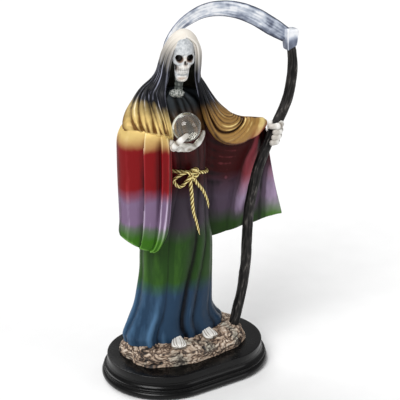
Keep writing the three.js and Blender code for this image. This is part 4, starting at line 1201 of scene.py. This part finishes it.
facing = smooth(-s, 0.05, 0.45)
height = skull_height + 0 * skull_angle


def before_head(left, before, height, axis=NECK_AXIS, turn=NECK_TURN):
    """Places to the left of an upright axis and before it, turned with the head."""
    to_x, to_y = turned(left, -before, turn)
    return gathered(axis[0] + to_x, axis[1] + to_y, height)


def dent(x, z, half_x, half_z, blur=0.45):
    """1 inside an oval of the face, 0 outside it, with a soft edge."""
    away = np.sqrt(((left - x) / half_x) ** 2 + ((height - z) / half_z) ** 2)
    return 1 - smooth(away, 1 - blur, 1 + blur)


def dents(x, z, half_x, half_z, blur=0.45, middle=0.0):
    """A dent on each side of the face, x away from middle."""
    return sum(dent(side * x + middle, z, half_x, half_z, blur) for side in (-1, 1))


SOCKET_X, SOCKET_Z, SOCKET_RADIUS = 4.2, 248.2, 2.6
sockets = dents(SOCKET_X, SOCKET_Z, SOCKET_RADIUS * 0.94, SOCKET_RADIUS * 1.03, 0.2)
nose = np.maximum(dent(0.1, 244.8, 0.62, 1.7, 0.3), 0.5 * dent(1.5, 243.9, 0.5, 0.9, 0.3))
from_mouth = left + 1.4
tooth_rows = between(height, 236.2, 236.8, 241.6, 242.2) * (1 - smooth(np.abs(from_mouth), 4.2, 5.2))
gaps = hump(from_mouth / 1.35 % 1, 0.5, 0.13) * tooth_rows
bite = hump(height, 239.4, 0.28) * (1 - smooth(np.abs(from_mouth), 4.6, 5.6))
hollows = dents(6.6, 240.2, 2.3, 2.6, middle=-0.6)
forward = (
    -5.0 * sockets - 2.2 * nose
    + 0.8 * dents(4.2, 252.0, 3.2, 1.5)
    + 0.9 * dent(0.2, 248.2, 1.3, 2.2)
    + 1.2 * dents(6.2, 244.4, 2.4, 1.6)
    - 2.0 * hollows
    + 0.8 * dent(-0.5, 241.2, 4.6, 1.6)
    + 0.6 * dent(-1.2, 237.8, 4.4, 1.6)
    - 0.3 * gaps - 0.3 * bite
    + 0.9 * dent(-2.2, 232.2, 3.0, 1.6)
    - 0.5 * dent(-1.9, 235.0, 4.4, 0.8)
)
temples = dents(8.2, 252.0, 2.4, 3.4)
ahead = ahead + forward * facing
left = left * (1 - 0.07 * temples)
skull = before_head(left, ahead, height, SKULL_AXIS, SKULL_TURN)
pitted = noise(skull, 1.8, 3, 31)
skull = skull + normals(skull, True) * (0.09 * pitted)[..., None]
jaw_hollow = dent(-7.4, 240.6, 1.3, 2.6, 0.5)
shadow = np.clip(sockets * 1.1 + 0.9 * nose + 0.22 * gaps + 0.25 * bite + 0.25 * hollows
                 + 0.75 * jaw_hollow, 0, 1) * facing
amber = np.clip(dents(SOCKET_X - 0.3, SOCKET_Z - 0.3, 2.8, 2.9, 0.2) + 0.5 * dent(0.4, 244.4, 1.6, 2.2)
                + 0.7 * dent(-2.6, 233.2, 2.6, 0.9) + 0.5 * hollows, 0, 1) * facing
ivory = np.clip(0.5 * tooth_rows + dent(-1.8, 232.4, 4.8, 2.4) + 0.8 * dent(0.3, 247.5, 1.6, 3.0)
                + 0.7 * dent(0, 242.6, 4.5, 1.3), 0, 1) * facing

skull_paint, node = new_material("skull_paint")
dark = attribute(node, "shadow")
warm = attribute(node, "amber")
tooth = attribute(node, "ivory")
mottle = object_noise(node, 480.0, 4.0)
grey = ramp(node, mottle, [(0.3, (160, 164, 168)), (0.5, (190, 194, 197)), (0.7, (216, 218, 220))])
white = ramp(node, mottle, [(0.3, (208, 200, 190)), (0.6, (238, 233, 226))])
face = mixed(node, tooth, grey, white)
face = mixed(node, maths(node, "MULTIPLY", warm, 0.85), face, srgb(124, 84, 50))
face = mixed(node, ramp(node, dark, [(0.05, 0.0), (0.75, 1.0)]), face, srgb(18, 10, 7))
shade(node, face, ramp(node, mottle, [(0.3, 0.38), (0.7, 0.5)]), bumped(node, mottle, 0.0003, 0.5))
cast("skull", skull, {"shadow": shadow, "amber": amber, "ivory": ivory}, skull_paint)

dark_bone, node = new_material("dark_bone")
bone_depth = attribute(node, "crease")
shade(node, ramp(node, bone_depth, [(0.1, (14, 16, 16)), (0.4, (62, 68, 64)), (0.75, (136, 140, 134)),
                                    (1.0, (190, 190, 186))]), 0.45)
NECK_STEP = 0.25
neck_path = route([before_head(-4.0, 6, 208), before_head(-3.7, 6, 222), before_head(-2.8, 5.5, 236)],
                  NECK_STEP)
neck_angle = ring_angles(64)
neck_run = np.arange(len(neck_path))[:, None] * NECK_STEP
neck_ring = np.abs(np.sin(np.pi * neck_run / 3.4)) ** 0.6
cords = np.abs(np.cos(np.radians(3 * neck_angle)))
neck = tube(neck_path, 3.0 + 0.35 * neck_ring - 0.35 * (1 - cords ** 0.5), neck_angle + 0 * neck_run)
cast("neck", neck, {"crease": np.clip(0.24 + 0.34 * neck_ring * cords, 0, 1)}, dark_bone)


def globe(rings, points):
    """A ball of radius 1: rings from pole to pole, each with its points evenly spaced."""
    (level, rise), (x, y) = way(np.linspace(-90, 90, rings)[:, None]), way(ring_angles(points))
    return gathered(level * x, level * y, rise)


def lumpy(name, middle, halves, turn, relief, size, seed, material):
    """A rounded knobbly mass: an ellipsoid pushed out and in by ridged noise."""
    ball = globe(62, 110) * halves
    knobs = 1 - 2.2 * np.abs(noise(ball, size, 2, seed))
    ball = ball + unit_of(ball) * (relief * knobs)[..., None]
    mass = gathered(*turned(ball[..., 0], ball[..., 1], turn), ball[..., 2])
    paint = {"crease": np.clip(0.35 + 0.65 * knobs, 0, 1)}
    add_piece(name, surface_mesh(name, placed(mass + middle), True, layers=paint, weld=True), material,
              "figure")


lumpy("collar_bones", (-12.9, -9.6, 221.2), (5.4, 3.2, 2.6), -32, 0.6, 1.6, 41, dark_bone)

# Hands
# Ivory bony hands cast with the figure: the right lies open under the ball, the left is closed round the
# scythe's handle.
HAND_TURN = -34
knuckle_places = (0.0, 0.36, 0.68)


def add_finger(name, points, start, end, swell=0.22, reference=(0, -1, 0), knuckles=knuckle_places):
    """A bony finger: a tube that tapers from start to end, thicker at its knuckles, with a round tip."""
    path = route(points, 0.22)
    share = np.linspace(0, 1, len(path))[:, None]
    joints = sum(hump(share, place, 0.075) for place in knuckles)
    tip = np.sqrt(np.clip(1 - (np.clip(share - 0.88, 0, None) / 0.121) ** 2, 0, 1))
    angle = ring_angles(40)
    size = (start + (end - start) * share) * (1 - swell * 0.5 + swell * joints) * (0.05 + 0.95 * tip)
    finger = tube(path, size + 0 * angle, angle + 0 * share, reference)
    finger = finger + normals(finger, True) * (0.12 * noise(finger, 2.2, 2, 51))[..., None]
    paint = np.clip(0.55 + 0.5 * joints + 0 * angle - 0.35 * hump(share, 0.52, 0.04), 0, 1)
    cast(name, finger, {"crease": paint}, bone)


beside, toward = unit_of(np.array([0.829, -0.559, 0])), unit_of(np.array([-0.559, -0.829, 0.0]))
lumpy("right_palm", (-22.5, -32.6, 186.6), (10.0, 5.2, 3.0), HAND_TURN, 0.2, 5, 42, bone)
add_finger("right_wrist", [(-33, -10, 194), (-32, -20, 191), (-28.5, -29, 187.6)], 3.8, 3.4, 0.0)
right_finger = np.array([(-27.3, -33, 186.8), (-20.1, -33, 185.2), (-13.3, -33, 185.8), (-8, -33, 188.8),
                         (-5, -33, 192.8), (-3.8, -33, 196.2)])
for number, side in enumerate((-3.6, -1.2, 1.2, 3.6)):
    shift = toward * side + np.array([0, 0, 0.22 * side])
    drawn_in = 0.6 * abs(number - 1.2)
    short = np.linspace(0, 1, len(right_finger))[:, None] * drawn_in * np.array([-0.4, 0, -1.0])
    add_finger(f"right_finger_{number + 1}", right_finger + shift + short, 2.0, 1.7, 0.16)
right_thumb = [(-31, -32.5, 187.6), (-33.4, -37.5, 190.6), (-32.6, -41, 194.6), (-29.4, -43.2, 198),
               (-25.2, -44, 201.2)]
add_finger("right_thumb", right_thumb, 2.4, 2.0, 0.12)

fist_fingers = [
    # middle x, middle y, height, degrees round the handle at which the finger ends
    (80.9, -7, 177.0, 138), (80.4, -7, 172.2, 94), (79.2, -7, 167.8, 92), (77.2, -7, 163.7, 90),
]
FIST_REACH = 6.2
for number, (x, y, z, end) in enumerate(fist_fingers):
    sweep = np.radians(np.linspace(-60, end, 8))[:, None]
    ring = np.array([x, y, z]) + FIST_REACH * (np.cos(sweep) * beside + np.sin(sweep) * toward)
    add_finger(f"left_finger_{number + 1}", ring, 2.65, 2.45, 0.14, (0, 0, 1), (0.3, 0.62))
lumpy("left_palm", (83, -3, 168), (5.0, 4.6, 7.6), 0, 0.3, 5, 43, bone)
add_finger("left_wrist", [(78, -5.5, 178.5), (81, -4, 175.5), (83.5, -2.5, 170)], 2.4, 3.4, 0.0)

# Scythe
# A loose scythe that stands in the rock and passes through the closed hand: a bent handle of rough dark
# wood, a faceted metal collar and a thin silver blade curved over the hood.
handle_path = [
    (41.5, -10, 9), (45.7, -9.8, 23.5), (50.8, -9.4, 44), (54.3, -8.9, 68), (55.4, -8.6, 91),
    (58.2, -8.1, 114), (65.3, -7.6, 140), (74, -7.2, 159), (83.9, -6.6, 175.5), (91.8, -5.5, 186.5),
    (97.3, -4.5, 197.5), (101.6, -3, 212), (103, -1.8, 224), (101.8, -0.6, 238),
]
HANDLE_RADIUS = 4.3
HANDLE_STEP = 0.5
handle_sizes = [[9, HANDLE_RADIUS], [200, HANDLE_RADIUS], [222, 4.1], [238, 3.6]]

bark, node = new_material("dark_bark")
bark_depth = attribute(node, "crease")
flecks = object_noise(node, 420.0, 4.0, (1, 1, 0.3))
bark_tone = nudged(node, bark_depth, flecks, 0.7)
shade(node, ramp(node, bark_tone, [(0.2, (5, 5, 5)), (0.6, (19, 18, 18)), (0.9, (42, 40, 39)),
                                   (1.15, (84, 80, 77))]),
      0.5, bumped(node, flecks, 0.0005, 0.7), Specular_IOR_Level=0.15)
path = route(handle_path, HANDLE_STEP)
run = np.arange(len(path))[:, None] * HANDLE_STEP
angle = ring_angles(120)
around = gathered(*(part * HANDLE_RADIUS for part in way(angle)), run * 0.16)
grooves = 1 - 2.4 * np.abs(noise(around, 2.3, 3, 61))
knots = noise(around * [0.4, 0.4, 1.1], 3.0, 2, 62)
radius = keyed(handle_sizes, path[:, 2:3] + 0 * angle)[..., 0] - 0.25 + 0.3 * grooves + 0.35 * knots
handle = tube(path, radius, angle + 0 * run)
cast("handle", handle, {"crease": np.clip(0.5 + 0.45 * grooves, 0, 1)}, bark, "scythe")

blade_rows = [
    # share along, x, height, width
    [0, 98.5, 246, 12], [0.12, 86, 254.4, 14.2], [0.25, 71, 264.4, 14], [0.4, 54.6, 271.5, 13.2],
    [0.53, 39.5, 274.2, 12.2], [0.66, 25.5, 272.8, 11], [0.78, 13, 267.2, 9.4], [0.88, 4.3, 260.5, 7.2],
    [0.95, -2.2, 253, 4.4], [1, -6, 246.5, 1],
]
BLADE_THICKNESS = 3.2

silver, node = new_material("mottled_silver")
clouds = object_noise(node, 150.0, 6.0)
scratches = object_noise(node, 500.0, 3.0, (0.3, 1, 1))
edge_shade = attribute(node, "crease")
tone = maths(node, "ADD", maths(node, "MULTIPLY", clouds, 0.4), maths(node, "MULTIPLY", edge_shade, 0.6))
shade(node, ramp(node, tone, [(0.22, (58, 64, 82)), (0.38, (122, 130, 150)), (0.52, (190, 198, 212)),
                              (0.66, (244, 246, 250))]),
      ramp(node, scratches, [(0.3, 0.3), (0.7, 0.5)]), bumped(node, clouds, 0.0006, 0.5), Metallic=0.35)
blade_run = np.linspace(0, 1, 240)[:, None]
section = ring_angles(64)[:, ::-1]
line = keyed(blade_rows, blade_run + 0 * section)
middle_path = np.stack([line[..., 0], 2 + (99 - line[..., 0]) * 0.175, line[..., 1]], -1)
along = unit_of(np.gradient(middle_path, axis=0))
across_blade = unit_of(np.cross(along, (0.17, 1, 0)))
flat_way = np.cross(across_blade, along)
c, s = way(section)
lens = np.sign(s) * (np.abs(s) ** 1.3) * (0.5 + 0.2 * c)
blade = (middle_path + across_blade * (line[..., 2] / 2 * c)[..., None]
         + flat_way * (BLADE_THICKNESS * lens * np.minimum(1, line[..., 2] / 6))[..., None])
hammered = noise(blade, 7, 3, 71)
brushing = noise(gathered(blade_run * 170, 22 * c, np.sign(s)) * [0.22, 1, 1], 3.5, 3, 73)
blade = blade + normals(blade, True) * (0.12 * hammered)[..., None]
# Mottled by the hammering and the brushing; darker toward both edges, painted shade, and darker over the
# lower half and near the collar.
blade_tone = (0.66 + 0.3 * hammered + 0.4 * brushing - 0.7 * smooth(np.abs(c), 0.78, 1.0)
              - 0.2 * smooth(c, 0.1, 0.6) - 0.28 * (1 - smooth(blade_run, 0.04, 0.3)))
cast("blade", blade, {"crease": np.clip(blade_tone, 0, 1)}, silver, "scythe")

COLLAR_FOOT, COLLAR_TOP = (101.2, -0.4, 235.8), (101.6, 0.6, 251)
COLLAR_CORNER = 38
# Each facet's brightness: painted light and painted shade of the four facets.
FACET_LIGHT = [0.15, 0.02, 0.05, 0.15]
COLLAR_TILT = 0.42
collar_widths = [[0, 5.0], [0.05, 5.6], [0.5, 6.6], [0.9, 6.9], [1, 6.2]]
collar_run = np.linspace(0, 1, 60)
collar_path = np.array(COLLAR_FOOT) + (np.array(COLLAR_TOP) - COLLAR_FOOT) * collar_run[:, None]
angle = ring_angles(90)
facet = np.cos(np.radians(45)) / np.cos(np.radians((angle - COLLAR_CORNER) % 90 - 45))
facet_light = np.array(FACET_LIGHT)[(((angle - COLLAR_CORNER) % 360) // 90).astype(int)]
radius = keyed(collar_widths, collar_run) * (0.9 * facet + 0.1)
collar = tube(collar_path, radius, angle + 0 * radius)
collar = collar + normals(collar, True) * (0.15 * noise(collar, 4, 2, 72))[..., None]
collar[..., 2] += COLLAR_TILT * (collar[..., 0] - COLLAR_FOOT[0]) * (1 - collar_run[:, None])
# Facets lighter at their corners and toward the top: painted highlights over the facets' painted light and
# shade.
collar_tone = facet_light + 0.5 * smooth(facet, 0.9, 0.99) + 0.6 * smooth(collar_run[:, None], 0.3, 0.8)
cast("collar", collar, {"crease": np.clip(collar_tone, 0, 1)}, silver, "scythe")

# Crystal ball
# A clear glass ball that rests loose in the palm.
ball_low, ball_high = (np.array(corner) * 1000 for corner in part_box("crystal_ball"))
ball_radius = (ball_high - ball_low)[2] / 2
ball = (ball_low + ball_high) / 2 + ball_radius * globe(80, 128)
glass, node = new_material("clear_glass")
shade(node, (0.9, 0.9, 0.8, 1), 0.02, bumped(node, object_noise(node, 90.0, 1.0), 0.00002, 0.3),
      Transmission_Weight=0.95, IOR=1.5)
add_piece("glass_ball", surface_mesh("glass_ball", ball, True, weld=True), glass, "crystal_ball")
